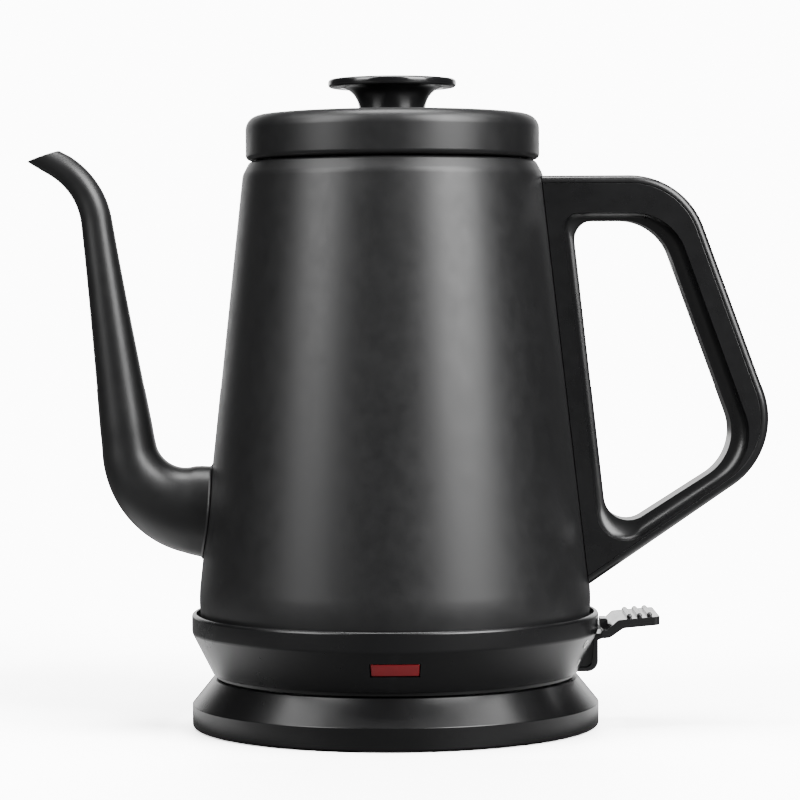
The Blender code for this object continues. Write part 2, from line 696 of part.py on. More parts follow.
def make_cover():
    """Plate that closes the collar's underside, and its screws."""
    radius = COLLAR_FOOT_RADIUS - COLLAR_WALL - GAP
    cover = turned("collar_bottom_cover", [
        (radius, cover_low),
        (radius, cover_high),
        (cover_opening, cover_high),
        (cover_opening, cover_low),
    ], BLACK_PLASTIC, KETTLE)
    shank_top = cover_high + COVER_SCREW_REACH
    head_seat = cover_low + COVER_SCREW_HEAD_HEIGHT
    start = cover_low - 0.008
    tools = []
    screw_circle = cover_opening + COVER_SCREW_INSET
    for i, (x, y) in enumerate(around(3, screw_circle, math.radians(60))):
        drilling = stepped(f"cover_drilling_{i + 1}", (x, y, start), (x, y, 1), [
            (0, 0),
            (COVER_SCREW_HEAD + GAP, 0),
            (COVER_SCREW_HEAD + GAP, head_seat - start),
            (COVER_SCREW_RADIUS + GAP, head_seat - start),
            (COVER_SCREW_RADIUS + GAP, shank_top + GAP - start),
            (0, shank_top + GAP - start),
        ], None, KETTLE, 12)
        combine(cover, drilling)
        tools.append(drilling)
        low = cover_low + GAP / 3
        rod(f"cover_screw_{i + 1}", (x, y, low), (x, y, shank_top), COVER_SCREW_RADIUS, STEEL, KETTLE,
            12, head=(COVER_SCREW_HEAD, head_seat - GAP - low))
    return tools


# ---------------------------------------------------------------- heater and control
def make_heater(screw_tools):
    """Control housing over the connector, boil-dry disc, element ring and heat plate."""
    housing_low = cover_high + GAP + 0.0001
    flange_top = housing_low + HOUSING_FLANGE_HEIGHT
    ceiling = shroud_roof + GAP
    roof = ceiling + 0.0015
    housing = turned("control_housing", [
        (0, ceiling),
        (housing_bore, ceiling),
        (housing_bore, housing_low),
        (housing_flange, housing_low),
        (housing_flange, flange_top),
        (housing_radius, flange_top),
        (housing_radius, roof),
        (0, roof),
    ], WHITE_PLASTIC, KETTLE, 32)
    for tool in screw_tools:
        combine(housing, tool)

    disc_low = roof + GAP
    turned("boil_dry_disc", [
        (0, disc_low + 0.0010),
        (0.0095, disc_low),
        (0.0095, disc_low + 0.0004),
        (0, disc_low + 0.0014),
    ], STEEL, KETTLE, TINY_TURN)

    turned("heat_plate", [
        (0, heat_plate_low),
        (heat_plate_radius, heat_plate_low),
        (heat_plate_radius, heat_plate_high),
        (0, heat_plate_high),
    ], ALUMINIUM, KETTLE, 32)

    level = heat_plate_low - GAP - ELEMENT_TUBE_RADIUS
    steps = 26
    first = math.radians(120)
    sweep = math.radians(300)
    ring = []
    for i in range(steps + 1):
        angle = first + sweep * i / steps
        ring.append((element_ring * math.cos(angle), element_ring * math.sin(angle), level))
    wire("heating_element", ring, ELEMENT_TUBE_RADIUS, STEEL, KETTLE, 2)


# ---------------------------------------------------------------- vessel
def body_tool(name, margin):
    """Solid cone of the body's outer form, larger by a margin, to trim what touches the body."""
    low = collar_foot - 0.010
    high = body_rim + 0.020
    return turned(name, [
        (0, low),
        (body_radius(low) + margin, low),
        (body_radius(high) + margin, high),
        (0, high),
    ], None, KETTLE)


def make_vessel():
    """Body shell with its rolled shoulder and mouth, and the floor brazed into it."""
    wall = STEEL_WALL
    shoulder = body_rim - BODY_SHOULDER_DEPTH
    flat = BODY_SHOULDER_RADIUS - 0.0024
    lip_low = body_rim - MOUTH_LIP_DEPTH
    body = turned("body_shell", rounded([
        (body_radius(body_foot), body_foot, 0),
        (body_radius(shoulder), shoulder, 0.0060),
        (flat, body_rim, 0.0016),
        (MOUTH_RADIUS, body_rim, 0.0012),
        (MOUTH_RADIUS, lip_low, 0),
        (MOUTH_RADIUS + wall, lip_low, 0),
        (MOUTH_RADIUS + wall, body_rim - wall, 0.0005),
        (flat - wall / 2, body_rim - wall, 0.0010),
        (body_radius(shoulder) - wall, shoulder, 0.0052),
        (body_radius(body_foot) - wall, body_foot, 0),
    ], steps=2), POWDER_COAT, KETTLE)

    flange_top = floor_low + 0.0045
    floor = turned("vessel_floor", [
        (0, floor_low),
        (body_radius(floor_low) - wall - GAP, floor_low),
        (body_radius(flange_top) - wall - GAP, flange_top),
        (body_radius(flange_top) - 2 * wall - GAP, flange_top),
        (body_radius(floor_high) - 2 * wall - GAP, floor_high),
        (0, floor_high),
    ], STEEL, KETTLE)
    return body, floor


def make_steam_tube(floor):
    """Tube that takes steam from under the lid down through the floor to its bimetal."""
    low = heat_plate_low - 0.0045
    high = body_rim - 0.0112
    bore = STEAM_TUBE_RADIUS - 0.0006
    turned("steam_tube", [
        (STEAM_TUBE_RADIUS, low),
        (STEAM_TUBE_RADIUS, high),
        (bore, high),
        (bore, low),
    ], STEEL, KETTLE, TINY_TURN, (STEAM_TUBE_OFFSET, 0))
    hole = rod("steam_tube_hole", (STEAM_TUBE_OFFSET, 0, floor_low - 0.003),
               (STEAM_TUBE_OFFSET, 0, floor_high + 0.003), STEAM_TUBE_RADIUS + GAP, None, KETTLE)
    combine(floor, hole)


# ---------------------------------------------------------------- spout
def smooth_share(value):
    """Share from 0 to 1 with a soft start and end."""
    value = min(max(value, 0.0), 1.0)
    return value * value * (3 - 2 * value)


def make_spout(body):
    """Gooseneck tube, trimmed to the body, and the opening behind it in the body's wall."""
    root = (body_radius(SPOUT_ROOT_HEIGHT) - 0.0060, SPOUT_ROOT_HEIGHT)
    corners = [
        (*root, 0),
        (*SPOUT_ELBOW, SPOUT_ELBOW_RADIUS),
        (*SPOUT_CREST, SPOUT_CREST_RADIUS),
        (*SPOUT_TIP, 0),
    ]
    bends = rounded(corners, closed=False, steps=6)
    # the straight stretches get stations of their own, so that the taper can curve
    path = [bends[0]]
    for point in bends[1:]:
        pieces = max(1, round((point - path[-1]).length / 0.014))
        start = path[-1]
        path += [start.lerp(point, k / pieces) for k in range(1, pieces + 1)]
    reach = [0.0]
    for a, b in zip(path, path[1:]):
        reach.append(reach[-1] + (b - a).length)
    total = reach[-1]
    riser_foot = total - 0.1020
    crest = total - 0.0260

    def tube_radius(s):
        if s < riser_foot:
            share = smooth_share(s / riser_foot) ** 0.9
            return SPOUT_ROOT_TUBE + (SPOUT_RISER_TUBE - SPOUT_ROOT_TUBE) * share
        if s < crest:
            share = (s - riser_foot) / (crest - riser_foot)
            return SPOUT_RISER_TUBE + (SPOUT_CREST_TUBE - SPOUT_RISER_TUBE) * (1 - (1 - share) ** 1.25)
        return SPOUT_CREST_TUBE + (SPOUT_TIP_RADIUS - SPOUT_CREST_TUBE) * (s - crest) / (total - crest)

    def tube(thinner, start=0, past_root=0.0, past_tip=0.0):
        rings = []
        for i in range(start, len(path)):
            ahead = path[min(i + 1, len(path) - 1)]
            behind = path[max(i - 1, 0)]
            along = (ahead - behind).normalized()
            across = Vector((-along.y, along.x))
            s = reach[i]
            high = tube_radius(s) - thinner
            flat = SPOUT_ROOT_FLATNESS + (1 - SPOUT_ROOT_FLATNESS) * smooth_share(s / riser_foot)
            shear = SPOUT_TIP_SHEAR * smooth_share((s - total + 0.012) / 0.012)
            shift = -past_root if i == start else past_tip if i == len(path) - 1 else 0.0
            ring = []
            for p in circle(0, 0, 1, 20):
                point = path[i] + across * (p.y * high) + along * (shift - shear * p.y * high)
                ring.append((-point.x, p.x * high * flat, point.y))
            rings.append(ring)
        return rings

    outer = tube(0.0)
    inner = tube(SPOUT_WALL)
    spout = lofted("spout", outer + inner[::-1], POWDER_COAT, KETTLE, ring_shaped=True)
    combine(spout, body_tool("spout_trim", GAP))
    waterway = lofted("spout_waterway", tube(SPOUT_WALL + GAP, past_root=0.004)[:9], None, KETTLE)
    combine(body, waterway)


# ---------------------------------------------------------------- lid
def make_lid():
    """Lid shell with its knob and screw, and the inner plate with its gasket."""
    wall = STEEL_WALL
    crown = lid_high + LID_DOME
    crown_radius = 0.0150
    curl = LID_RADIUS - 0.0033
    bore = 0.0019
    turned("lid_shell", rounded([
        (curl, lid_low, 0),
        (LID_RADIUS, lid_low, 0.0018),
        (LID_RADIUS, lid_high, 0.0050),
        (crown_radius, crown, 0),
        (bore, crown, 0),
        (bore, crown - wall, 0),
        (crown_radius, crown - wall, 0),
        (LID_RADIUS - wall, lid_high - wall, 0.0042),
        (LID_RADIUS - wall, lid_low + wall, 0.0010),
        (curl, lid_low + wall, 0),
    ], steps=2), POWDER_COAT, LID)

    plate_low = lid_low + wall + GAP
    plate_high = plate_low + 0.0018
    plug = MOUTH_RADIUS - LID_PLUG_CLEARANCE
    plug_low = lid_low - LID_PLUG_DEPTH
    toe = plug_low + 0.0012
    shoulder = toe + 0.0031
    turned("lid_inner", [
        (0, plate_low),
        (plug - PLASTIC_WALL, plate_low),
        (plug - PLASTIC_WALL, plug_low),
        (plug + 0.0009, plug_low),
        (plug + 0.0009, toe),
        (plug, toe),
        (plug, shoulder),
        (plug + 0.0012, shoulder),
        (plug + 0.0012, plate_low),
        (LID_RADIUS - wall - GAP, plate_low),
        (LID_RADIUS - wall - GAP, plate_high),
        (0, plate_high),
    ], BLACK_PLASTIC, LID)
    turned("lid_gasket", rounded([
        (plug + GAP, toe + GAP, 0),
        (MOUTH_RADIUS - GAP, toe + GAP, 0.0005),
        (MOUTH_RADIUS - 0.0009, (toe + shoulder) / 2, 0),
        (MOUTH_RADIUS - GAP, shoulder - GAP, 0.0005),
        (plug + GAP, shoulder - GAP, 0),
    ], steps=1), SILICONE, LID)

    knob_low = crown + GAP
    knob_top = lid_high + KNOB_HEIGHT
    rim_low = knob_top - KNOB_RIM
    flare_radius = KNOB_RADIUS - 0.0040
    flare = []
    for k in range(5):
        turn = math.radians(22.5 * k)
        flare.append((
            KNOB_STEM_RADIUS + (flare_radius - KNOB_STEM_RADIUS) * (1 - math.cos(turn)),
            knob_low + 0.0006 + (rim_low - knob_low - 0.0006) * math.sin(turn),
        ))
    rim = rounded([
        (flare_radius, rim_low, 0),
        (KNOB_RADIUS, rim_low, 0.0010),
        (KNOB_RADIUS, knob_top, 0.0011),
        (KNOB_RADIUS - 0.0030, knob_top, 0),
        (0, knob_top - 0.0005, 0),
    ], closed=False, steps=2)
    knob = turned("lid_knob", [(0, knob_low), (KNOB_STEM_RADIUS, knob_low)] + flare + rim[1:],
                  GLOSS_PLASTIC, LID, 32)
    shank_top = knob_low + 0.0055
    tool = rod("knob_bore", (0, 0, knob_low - 0.002), (0, 0, shank_top + GAP), 0.0015 + GAP, None, LID)
    combine(knob, tool)
    head_top = crown - wall - GAP
    rod("lid_screw", (0, 0, head_top - 0.0018), (0, 0, shank_top), 0.0015, STEEL, LID, head=(0.0034, 0.0018))


# ---------------------------------------------------------------- handle
def handle_lines():
    """Outer corners of the handle and the lines that bound the finger gap, as (x, z) vectors."""
    knuckle_level = handle_top - HANDLE_KNUCKLE_DROP
    foot_level = handle_top - HANDLE_FOOT_DROP
    root = Vector((body_radius(handle_top), handle_top))
    shoulder = Vector((body_radius(handle_top) + HANDLE_TOP_REACH, handle_top))
    knuckle = Vector((body_radius(knuckle_level) + HANDLE_KNUCKLE_REACH, knuckle_level))
    foot = Vector((body_radius(foot_level), foot_level))
    plate = tuple(Vector((body_radius(z) + HANDLE_PLATE, z)) for z in (foot_level, handle_top))
    bar = inset_line(root, shoulder, HANDLE_BAR, HANDLE_BAR)
    grip = inset_line(shoulder, knuckle, HANDLE_GRIP, HANDLE_GRIP)
    strut = inset_line(knuckle, foot, HANDLE_STRUT_TOP, HANDLE_STRUT_FOOT)
    return (root, shoulder, knuckle, foot), (plate, bar, grip, strut)


def handle_path(inset):
    """Open outline of the handle's back, moved inward, from inside the body round to the body."""
    (root, shoulder, knuckle, foot), _ = handle_lines()
    top = inset_line(root, shoulder, inset, inset)
    grip = inset_line(shoulder, knuckle, inset, inset)
    strut = inset_line(knuckle, foot, inset, inset)
    upper = crossing(top, grip)
    lower = crossing(grip, strut)
    start = Vector((root.x - 0.0060, top[0].y))
    end = strut[1] + (strut[1] - lower).normalized() * 0.0070
    return rounded([
        (*start, 0),
        (*upper, HANDLE_TOP_FILLET - inset),
        (*lower, HANDLE_KNUCKLE_FILLET - inset),
        (*end, 0),
    ], closed=False, steps=8)


def finger_gap(lines, widths, fillets):
    """Closed outline of the finger gap, with each side moved outward by its width."""
    moved = []
    for (p, q), (at_p, at_q) in zip(lines, widths):
        moved.append(inset_line(p, q, -at_p, -at_q))
    plate, bar, grip, strut = moved
    corners = [crossing(plate, bar), crossing(bar, grip), crossing(grip, strut), crossing(strut, plate)]
    return rounded([(*corner, fillet) for corner, fillet in zip(corners, fillets)], steps=6)


def make_handle():
    """Handle frame with its coved finger gap, the strip along its back, and its bosses and screws."""
    half = HANDLE_WIDTH / 2
    trim = body_tool("handle_trim", GAP)
    frame = extruded("handle_frame", handle_path(HANDLE_COVER + GAP), half, BLACK_PLASTIC, KETTLE)
    soften(frame, 0.0006, 1)
    combine(frame, trim)
    strip = handle_path(0.0) + handle_path(HANDLE_COVER)[::-1]
    cover = extruded("handle_cover", strip, half, BLACK_PLASTIC, KETTLE)
    soften(cover, 0.0008, 2)
    combine(cover, trim)

    _, lines = handle_lines()
    gap = finger_gap(lines, ((0, 0),) * 4, FINGER_GAP_FILLETS)
    cove = finger_gap(lines, COVE_WIDTHS, COVE_FILLETS)
    rings = [[(p.x, -half - 0.001, p.y) for p in cove]]
    for k in range(4):
        turn = math.radians(30 * k)
        y = -half + COVE_DEPTH * math.sin(turn)
        edge = [inner.lerp(outer, math.cos(turn)) for inner, outer in zip(gap, cove)]
        rings.append([(p.x, y, p.y) for p in edge])
    rings += [[(x, -y, z) for x, y, z in ring] for ring in rings[::-1]]
    combine(frame, lofted("finger_gap_tool", rings, None, KETTLE))

    for name, drop in zip(("top", "bottom"), HANDLE_SCREW_DROPS):
        z = handle_top - drop
        wall = body_radius(z)
        face = wall + HANDLE_PLATE
        tip = wall + HANDLE_BOSS_RISE
        thread_end = wall + 0.0012
        start = wall - 0.003
        boss = rod("handle_boss_" + name, (start, 0, z), (tip, 0, z), HANDLE_BOSS_RADIUS, STEEL, KETTLE)
        combine(boss, trim)
        thread = rod("handle_thread_" + name, (face + 0.001, 0, z), (thread_end, 0, z),
                     HANDLE_SCREW_RADIUS + GAP, None, KETTLE)
        combine(boss, thread)
        drilling = stepped("handle_drilling_" + name, (start, 0, z), (face, 0, z), [
            (0, 0),
            (HANDLE_BOSS_RADIUS + GAP, 0),
            (HANDLE_BOSS_RADIUS + GAP, tip + GAP - start),
            (HANDLE_SCREW_RADIUS + GAP, tip + GAP - start),
            (HANDLE_SCREW_RADIUS + GAP, face - HANDLE_SCREW_SINK - start),
            (HANDLE_SCREW_HEAD + GAP, face - HANDLE_SCREW_SINK - start),
            (HANDLE_SCREW_HEAD + GAP, face + 0.002 - start),
            (0, face + 0.002 - start),
        ], None, KETTLE)
        combine(frame, drilling)
        head_face = face - HANDLE_SCREW_SINK + GAP + HANDLE_SCREW_HEAD_HEIGHT
        rod("handle_screw_" + name, (head_face, 0, z), (thread_end + GAP, 0, z), HANDLE_SCREW_RADIUS, STEEL,
            KETTLE, head=(HANDLE_SCREW_HEAD, HANDLE_SCREW_HEAD_HEIGHT))


# ---------------------------------------------------------------- switch lever
def make_lever():
    """Lever in one piece: hub and arms, skirt over the slot, and paddle with ribs."""
    px, _, pz = lever_pivot
    half_arm = LEVER_ARM_WIDTH / 2
    half_strip = PADDLE_WIDTH / 2
    thick = LEVER_THICKNESS
    tip_x = COLLAR_RADIUS + PADDLE_REACH
    tip_low = collar_foot + PADDLE_RISE
    bend_x = tip_x - PADDLE_LENGTH
    bend_low = tip_low - PADDLE_SLOPE_RISE
    step_x = COLLAR_RADIUS + 0.0005
    step_low = collar_foot + STEP_RISE
    under = collar_edge - 0.0007      # highest the arm may be inside the slot

    def part(name, corners, half, steps=3, look=None):
        return extruded(name, rounded(corners, steps=steps), half, look, LEVER, at=lever_pivot)

    arm = part("switch_lever", [
        (px, pz - 0.0013, 0),
        (COLLAR_RADIUS - 0.0010, under - 0.0024, 0.0030),
        (step_x + 0.0012, step_low - 0.0007, 0.0010),
        (step_x + 0.0030, step_low + 0.0010, 0),
        (step_x + 0.0030, step_low + 0.0020, 0),
        (step_x, under, 0),
        (COLLAR_RADIUS - 0.0010, under, 0.0030),
        (px, pz + 0.0016, 0),
    ], half_arm, look=GLOSS_PLASTIC)
    strip = part("strip_tool", [
        (step_x, step_low, 0.0006),
        (step_x + 0.0027, step_low + 0.0003, 0.0030),
        (bend_x + 0.0018, bend_low, 0.0030),
        (tip_x, tip_low, 0.0010),
        (tip_x, tip_low + thick, 0.0010),
        (bend_x, bend_low + thick - 0.0001, 0.0020),
        (step_x + 0.0018, step_low + thick, 0.0020),
        (step_x, step_low + thick, 0.0006),
    ], half_strip)
    stop = block("stop_tool", (step_x, -STOP_WIDTH / 2, step_low + thick - 0.0006),
                 (step_x + STOP_LENGTH, STOP_WIDTH / 2, step_low + thick + STOP_HEIGHT), None, LEVER,
                 at=lever_pivot)
    skirt_low = collar_foot + 0.0001
    skirt_top = under - 0.0016
    skirt_sink = 0.0008               # skirt's inner side behind the cone's surface
    skirt = part("skirt_tool", [
        (cone_radius(skirt_low) - skirt_sink, skirt_low, 0.0004),
        (COLLAR_RADIUS - 0.0004, skirt_low, 0.0036),
        (COLLAR_RADIUS - 0.0004, skirt_top, 0),
        (cone_radius(skirt_top) - skirt_sink, skirt_top, 0),
    ], half_arm)
    inner_arm = part("inner_arm_tool", [
        (px - 0.0075, pz - 0.0009, 0.0004),
        (px, pz - 0.0012, 0),
        (px, pz + 0.0012, 0),
        (px - 0.0075, pz + 0.0006, 0.0004),
    ], half_arm - 0.0008)
    hub = extruded("hub_tool", circle(px, pz, 0.0025, TINY_TURN), half_arm, None, LEVER, at=lever_pivot)
    tools = [strip, stop, skirt, inner_arm, hub]
    for k in range(PADDLE_RIBS):
        x = tip_x - 0.0032 - k * RIB_PITCH
        z = tip_low + thick - PADDLE_SLOPE_RISE * (tip_x - x) / PADDLE_LENGTH + 0.0004
        tools.append(extruded(f"rib_tool_{k + 1}", circle(x, z, RIB_RADIUS, 12), half_strip - RIB_INSET,
                              None, LEVER, at=lever_pivot))
    for tool in tools:
        combine(arm, tool, "UNION")
    bore = extruded("hub_bore", circle(px, pz, PIN_RADIUS + GAP, TINY_TURN), half_arm + 0.001, None, LEVER,
                    at=lever_pivot)
    combine(arm, bore)


def make_switch_carrier():
    """Carrier with two ears for the lever's pin, and the steam bimetal and snap spring on it."""
    px, _, pz = lever_pivot
    low = cover_high + GAP + 0.0001
    deck = low + 0.0017
    ear_inner = LEVER_ARM_WIDTH / 2 + GAP
    ear_outer = ear_inner + 0.0020
    toe = px - 0.0024
    heel = px - 0.0180
    carrier = extruded("switch_carrier", rounded([
        (heel, low, 0),
        (toe, low, 0),
        (toe, low + 0.0021, 0.0010),
        (px + 0.0024, pz - 0.0018, 0.0010),
        (px + 0.0025, pz + 0.0021, 0.0014),
        (px - 0.0022, pz + 0.0025, 0.0014),
        (px - 0.0090, deck, 0.0020),
        (heel, deck, 0),
    ], steps=2), ear_outer, BLACK_PLASTIC, KETTLE)
    middle = block("carrier_gap", (heel - 0.001, -ear_inner, deck), (px + 0.006, ear_inner, pz + 0.006),
                   None, KETTLE)
    combine(carrier, middle)
    seat = extruded("pin_seat", circle(px, pz, PIN_RADIUS + GAP, TINY_TURN), ear_outer + 0.001, None, KETTLE)
    combine(carrier, seat)
    rod("lever_pin", (px, -ear_outer + 0.0002, pz), (px, ear_outer - 0.0002, pz), PIN_RADIUS, STEEL, KETTLE)

    foot = deck + GAP
    touch = pz - 0.0009 - GAP
    end = px - 0.0070
    extruded("steam_bimetal", rounded([
        (heel + 0.0008, foot, 0),
        (heel + 0.0040, foot, 0.002),
        (end, touch - 0.0005, 0),
        (end, touch, 0),
        (heel + 0.0038, foot + 0.0005, 0.002),
        (heel + 0.0008, foot + 0.0005, 0),
    ], steps=2), 0.0030, BRASS, KETTLE, middle=0.0025)
    bend = px - 0.0042
    extruded("snap_spring", rounded([
        (heel + 0.0060, foot, 0),
        (bend, foot, 0.0012),
        (bend, touch, 0.0012),
        (bend - 0.0034, touch, 0),
        (bend - 0.0034, touch - 0.0004, 0),
        (bend - 0.0004, touch - 0.0004, 0.0008),
        (bend - 0.0004, foot + 0.0004, 0.0008),
        (heel + 0.0060, foot + 0.0004, 0),
    ], steps=3), 0.0016, STEEL, KETTLE, middle=-0.0040)


# ---------------------------------------------------------------- put it together
base_shells = make_base_shells()
make_base_connector()
make_cord_gland(base_shells)
make_kettle_connector()
collar_ring = make_collar()
make_indicator(collar_ring)
screw_tools = make_cover()
make_heater(screw_tools)
body_shell, vessel_floor = make_vessel()
make_steam_tube(vessel_floor)
make_spout(body_shell)
make_lid()
make_handle()
make_lever()
make_switch_carrier()
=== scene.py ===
import math

import bmesh
import bpy
from mathutils import Matrix, Vector


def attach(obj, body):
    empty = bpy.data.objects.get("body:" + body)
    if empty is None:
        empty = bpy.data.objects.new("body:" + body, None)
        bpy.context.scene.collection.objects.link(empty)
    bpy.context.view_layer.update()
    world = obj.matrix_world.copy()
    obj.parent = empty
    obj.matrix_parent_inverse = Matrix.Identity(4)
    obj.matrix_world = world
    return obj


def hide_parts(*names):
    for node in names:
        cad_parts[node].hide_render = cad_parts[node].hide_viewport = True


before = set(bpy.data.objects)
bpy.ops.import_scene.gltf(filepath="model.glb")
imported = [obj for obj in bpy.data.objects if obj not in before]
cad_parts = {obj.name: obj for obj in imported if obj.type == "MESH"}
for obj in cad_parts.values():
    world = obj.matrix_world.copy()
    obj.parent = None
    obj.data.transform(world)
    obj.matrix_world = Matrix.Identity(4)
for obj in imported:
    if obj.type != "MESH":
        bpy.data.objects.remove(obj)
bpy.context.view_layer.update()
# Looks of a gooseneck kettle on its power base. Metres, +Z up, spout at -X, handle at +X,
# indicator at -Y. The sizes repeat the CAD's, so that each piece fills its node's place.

# ---------------------------------------------------------------- sizes
GAP = 0.0003
PLASTIC_WALL = 0.0020
STEEL_WALL = 0.0008
COAT_SHARE = 0.5               # outer share of the body's wall that shows as coating

BASE_RADIUS = 0.0700
BASE_TOP_RADIUS = 0.0628
BASE_CLEARANCE = 0.0005
BASE_CREASE_HEIGHT = 0.0080
BASE_CONE_RISE = 0.0089
BASE_RIM_WIDTH = 0.0030
BASE_DISH_DEPTH = 0.0044
BASE_PLATE_THICKNESS = 0.0024
FOOT_RADIUS = 0.0050
FOOT_INSET = 0.0010
FOOT_CIRCLE = 0.0560
FOOT_COUNT = 4
BASE_SCREW_CIRCLE = 0.0420
BASE_SCREW_COUNT = 3
BASE_SCREW_RADIUS = 0.0014
BASE_SCREW_HEAD = 0.0028
BASE_SCREW_HEAD_HEIGHT = 0.0013

PLUG_RADIUS = 0.0213
PLUG_RISE = 0.0125
SLOT_WIDTH = 0.0032
SLOT_DEPTH = 0.0090
LINE_RING_RADIUS = 0.0145
NEUTRAL_RING_RADIUS = 0.0085
RING_THICKNESS = 0.0008
EARTH_PIN_RADIUS = 0.0024
EARTH_HOLE_RADIUS = 0.0033
SHROUD_CLEARANCE = 0.0007

COLLAR_LIFT = 0.0017
COLLAR_RADIUS = 0.0700
COLLAR_FOOT_RADIUS = 0.0628
COLLAR_CONE_RISE = 0.0138
COLLAR_BAND_HEIGHT = 0.0079
COLLAR_WALL = 0.0023
FOOT_RING_INSET = 0.0010
FOOT_RING_GAP = 0.0004
LIP_GROOVE = 0.0006            # between the body and the collar's lip, at the top
LIP_DROP = 0.0010              # lip of the finished collar below the plain one
FOOT_CURL = 0.0008             # body turned in at the collar's lip
FOOT_CURL_HEIGHT = 0.0050
COVER_THICKNESS = 0.0018
COVER_SCREW_RADIUS = 0.0011
COVER_SCREW_HEAD = 0.0023
COVER_SCREW_HEAD_HEIGHT = 0.0010
COVER_SCREW_REACH = 0.0036
COVER_SCREW_INSET = 0.0040

BODY_HEIGHT = 0.1539
BODY_FOOT_RADIUS = 0.0680
BODY_SHOULDER_RADIUS = 0.0516
BODY_SHOULDER_DEPTH = 0.0045
BODY_SEAT_DEPTH = 0.0043
MOUTH_RADIUS = 0.0452
MOUTH_LIP_DEPTH = 0.0040

LID_RADIUS = 0.0505
LID_HEIGHT = 0.0153
LID_DOME = 0.0006
LID_SEAT_GAP = 0.0005
LID_PLUG_DEPTH = 0.0085
LID_PLUG_CLEARANCE = 0.0022
KNOB_RADIUS = 0.0220
KNOB_HEIGHT = 0.0124
KNOB_RIM = 0.0028
KNOB_STEM_RADIUS = 0.0113

SPOUT_ROOT_HEIGHT = 0.0731
SPOUT_ELBOW = (0.0889, 0.0773)
SPOUT_CREST = (0.1038, 0.1873)
SPOUT_TIP = (0.12005, 0.19665)
SPOUT_ELBOW_RADIUS = 0.0240
SPOUT_CREST_RADIUS = 0.0270
SPOUT_TIP_RADIUS = 0.0044
SPOUT_CREST_TUBE = 0.0053
SPOUT_RISER_TUBE = 0.0090
SPOUT_ROOT_TUBE = 0.0163
SPOUT_ROOT_FLATNESS = 0.72
SPOUT_TIP_SHEAR = 0.88
SPOUT_RISER_LENGTH = 0.1020    # from the elbow's end to the tip, along the centre line
SPOUT_CREST_LENGTH = 0.0260
SPOUT_SHEAR_LENGTH = 0.0120    # stretch over which the rings lean to the tip's cut
SPOUT_WALL = 0.0006
SPOUT_WELD = 0.0009            # weld bead between spout and body

HANDLE_WIDTH = 0.0220
HANDLE_TOP_DROP = 0.0054
HANDLE_TOP_REACH = 0.0480
HANDLE_KNUCKLE_REACH = 0.0717
HANDLE_KNUCKLE_DROP = 0.0940
HANDLE_FOOT_DROP = 0.1395
HANDLE_TOP_FILLET = 0.0270
HANDLE_KNUCKLE_FILLET = 0.0276
HANDLE_PLATE = 0.0080
HANDLE_BAR = 0.0154
HANDLE_GRIP = 0.0138
HANDLE_STRUT_TOP = 0.0068
HANDLE_STRUT_FOOT = 0.0096
HANDLE_COVER = 0.0026
COVER_EDGE = 0.0022            # rounding along the cover's outer edges
SEAM = 0.0001                  # between the cover and the frame
HANDLE_SCREW_DROPS = (0.0240, 0.1020)
HANDLE_SCREW_RADIUS = 0.0014
HANDLE_SCREW_HEAD = 0.0027
HANDLE_SCREW_HEAD_HEIGHT = 0.0015
HANDLE_SCREW_SINK = 0.0022
FINGER_GAP_FILLETS = (0.0065, 0.0180, 0.0178, 0.0086)
COVE_FILLETS = (0.0050, 0.0190, 0.0190, 0.0100)
COVE_WIDTHS = ((0.0034, 0.0034), (0.0026, 0.0026), (0.0052, 0.0052), (0.0036, 0.0060))
COVE_DEPTH = 0.0040

LEVER_PIVOT_INSET = 0.0038
LEVER_PIVOT_HEIGHT = 0.0084
LEVER_THICKNESS = 0.0028
LEVER_ARM_WIDTH = 0.0138
PADDLE_WIDTH = 0.0320
PADDLE_REACH = 0.0202
PADDLE_LENGTH = 0.0142
PADDLE_RISE = 0.0170
PADDLE_SLOPE_RISE = 0.0011
PADDLE_CORNER = 0.0020         # corners of the paddle seen from above
STEP_RISE = 0.0124
PADDLE_RIBS = 3
RIB_PITCH = 0.00345
RIB_RADIUS = 0.0009
RIB_INSET = 0.0035
STOP_WIDTH = 0.0080
STOP_LENGTH = 0.0028
STOP_HEIGHT = 0.0028
PIN_RADIUS = 0.0010

WINDOW_WIDTH = 0.0160
WINDOW_HEIGHT = 0.0046
WINDOW_LEVEL = 0.0077
LENS_STEP = 0.0002
LENS_STAND = 0.0004
STEAM_TUBE_RADIUS = 0.0032
STEAM_TUBE_OFFSET = 0.0474
HEAT_PLATE_THICKNESS = 0.0025
GLAND_RADIUS = 0.0043
GLAND_HOLE_RADIUS = 0.0031
GLAND_HEIGHT = 0.0068
GLAND_INSET = 0.0085           # gland's inner end, from the base's edge
GLAND_DEPTH = 0.0095

FINE_TURN = 192                # facets of the large turned pieces
MEDIUM_TURN = 96
SMALL_TURN = 48

# ---------------------------------------------------------------- worked-out levels
base_plate_top = BASE_CLEARANCE + BASE_PLATE_THICKNESS
base_top = BASE_CREASE_HEIGHT + BASE_CONE_RISE
dish_floor = base_top - BASE_DISH_DEPTH
plug_top = dish_floor + PLUG_RISE
slot_floor = plug_top - SLOT_DEPTH
collar_foot = base_top + COLLAR_LIFT
collar_edge = collar_foot + COLLAR_CONE_RISE
collar_top = collar_edge + COLLAR_BAND_HEIGHT
cover_low = collar_foot + GAP
cover_high = cover_low + COVER_THICKNESS
body_foot = collar_top - BODY_SEAT_DEPTH
body_rim = collar_top + BODY_HEIGHT
floor_low = body_foot + GAP
floor_high = floor_low + STEEL_WALL
heat_plate_low = floor_low - GAP - HEAT_PLATE_THICKNESS
connector_low = plug_top + SHROUD_CLEARANCE
lid_low = body_rim + LID_SEAT_GAP
lid_high = lid_low + LID_HEIGHT
lid_crown = lid_high + LID_DOME
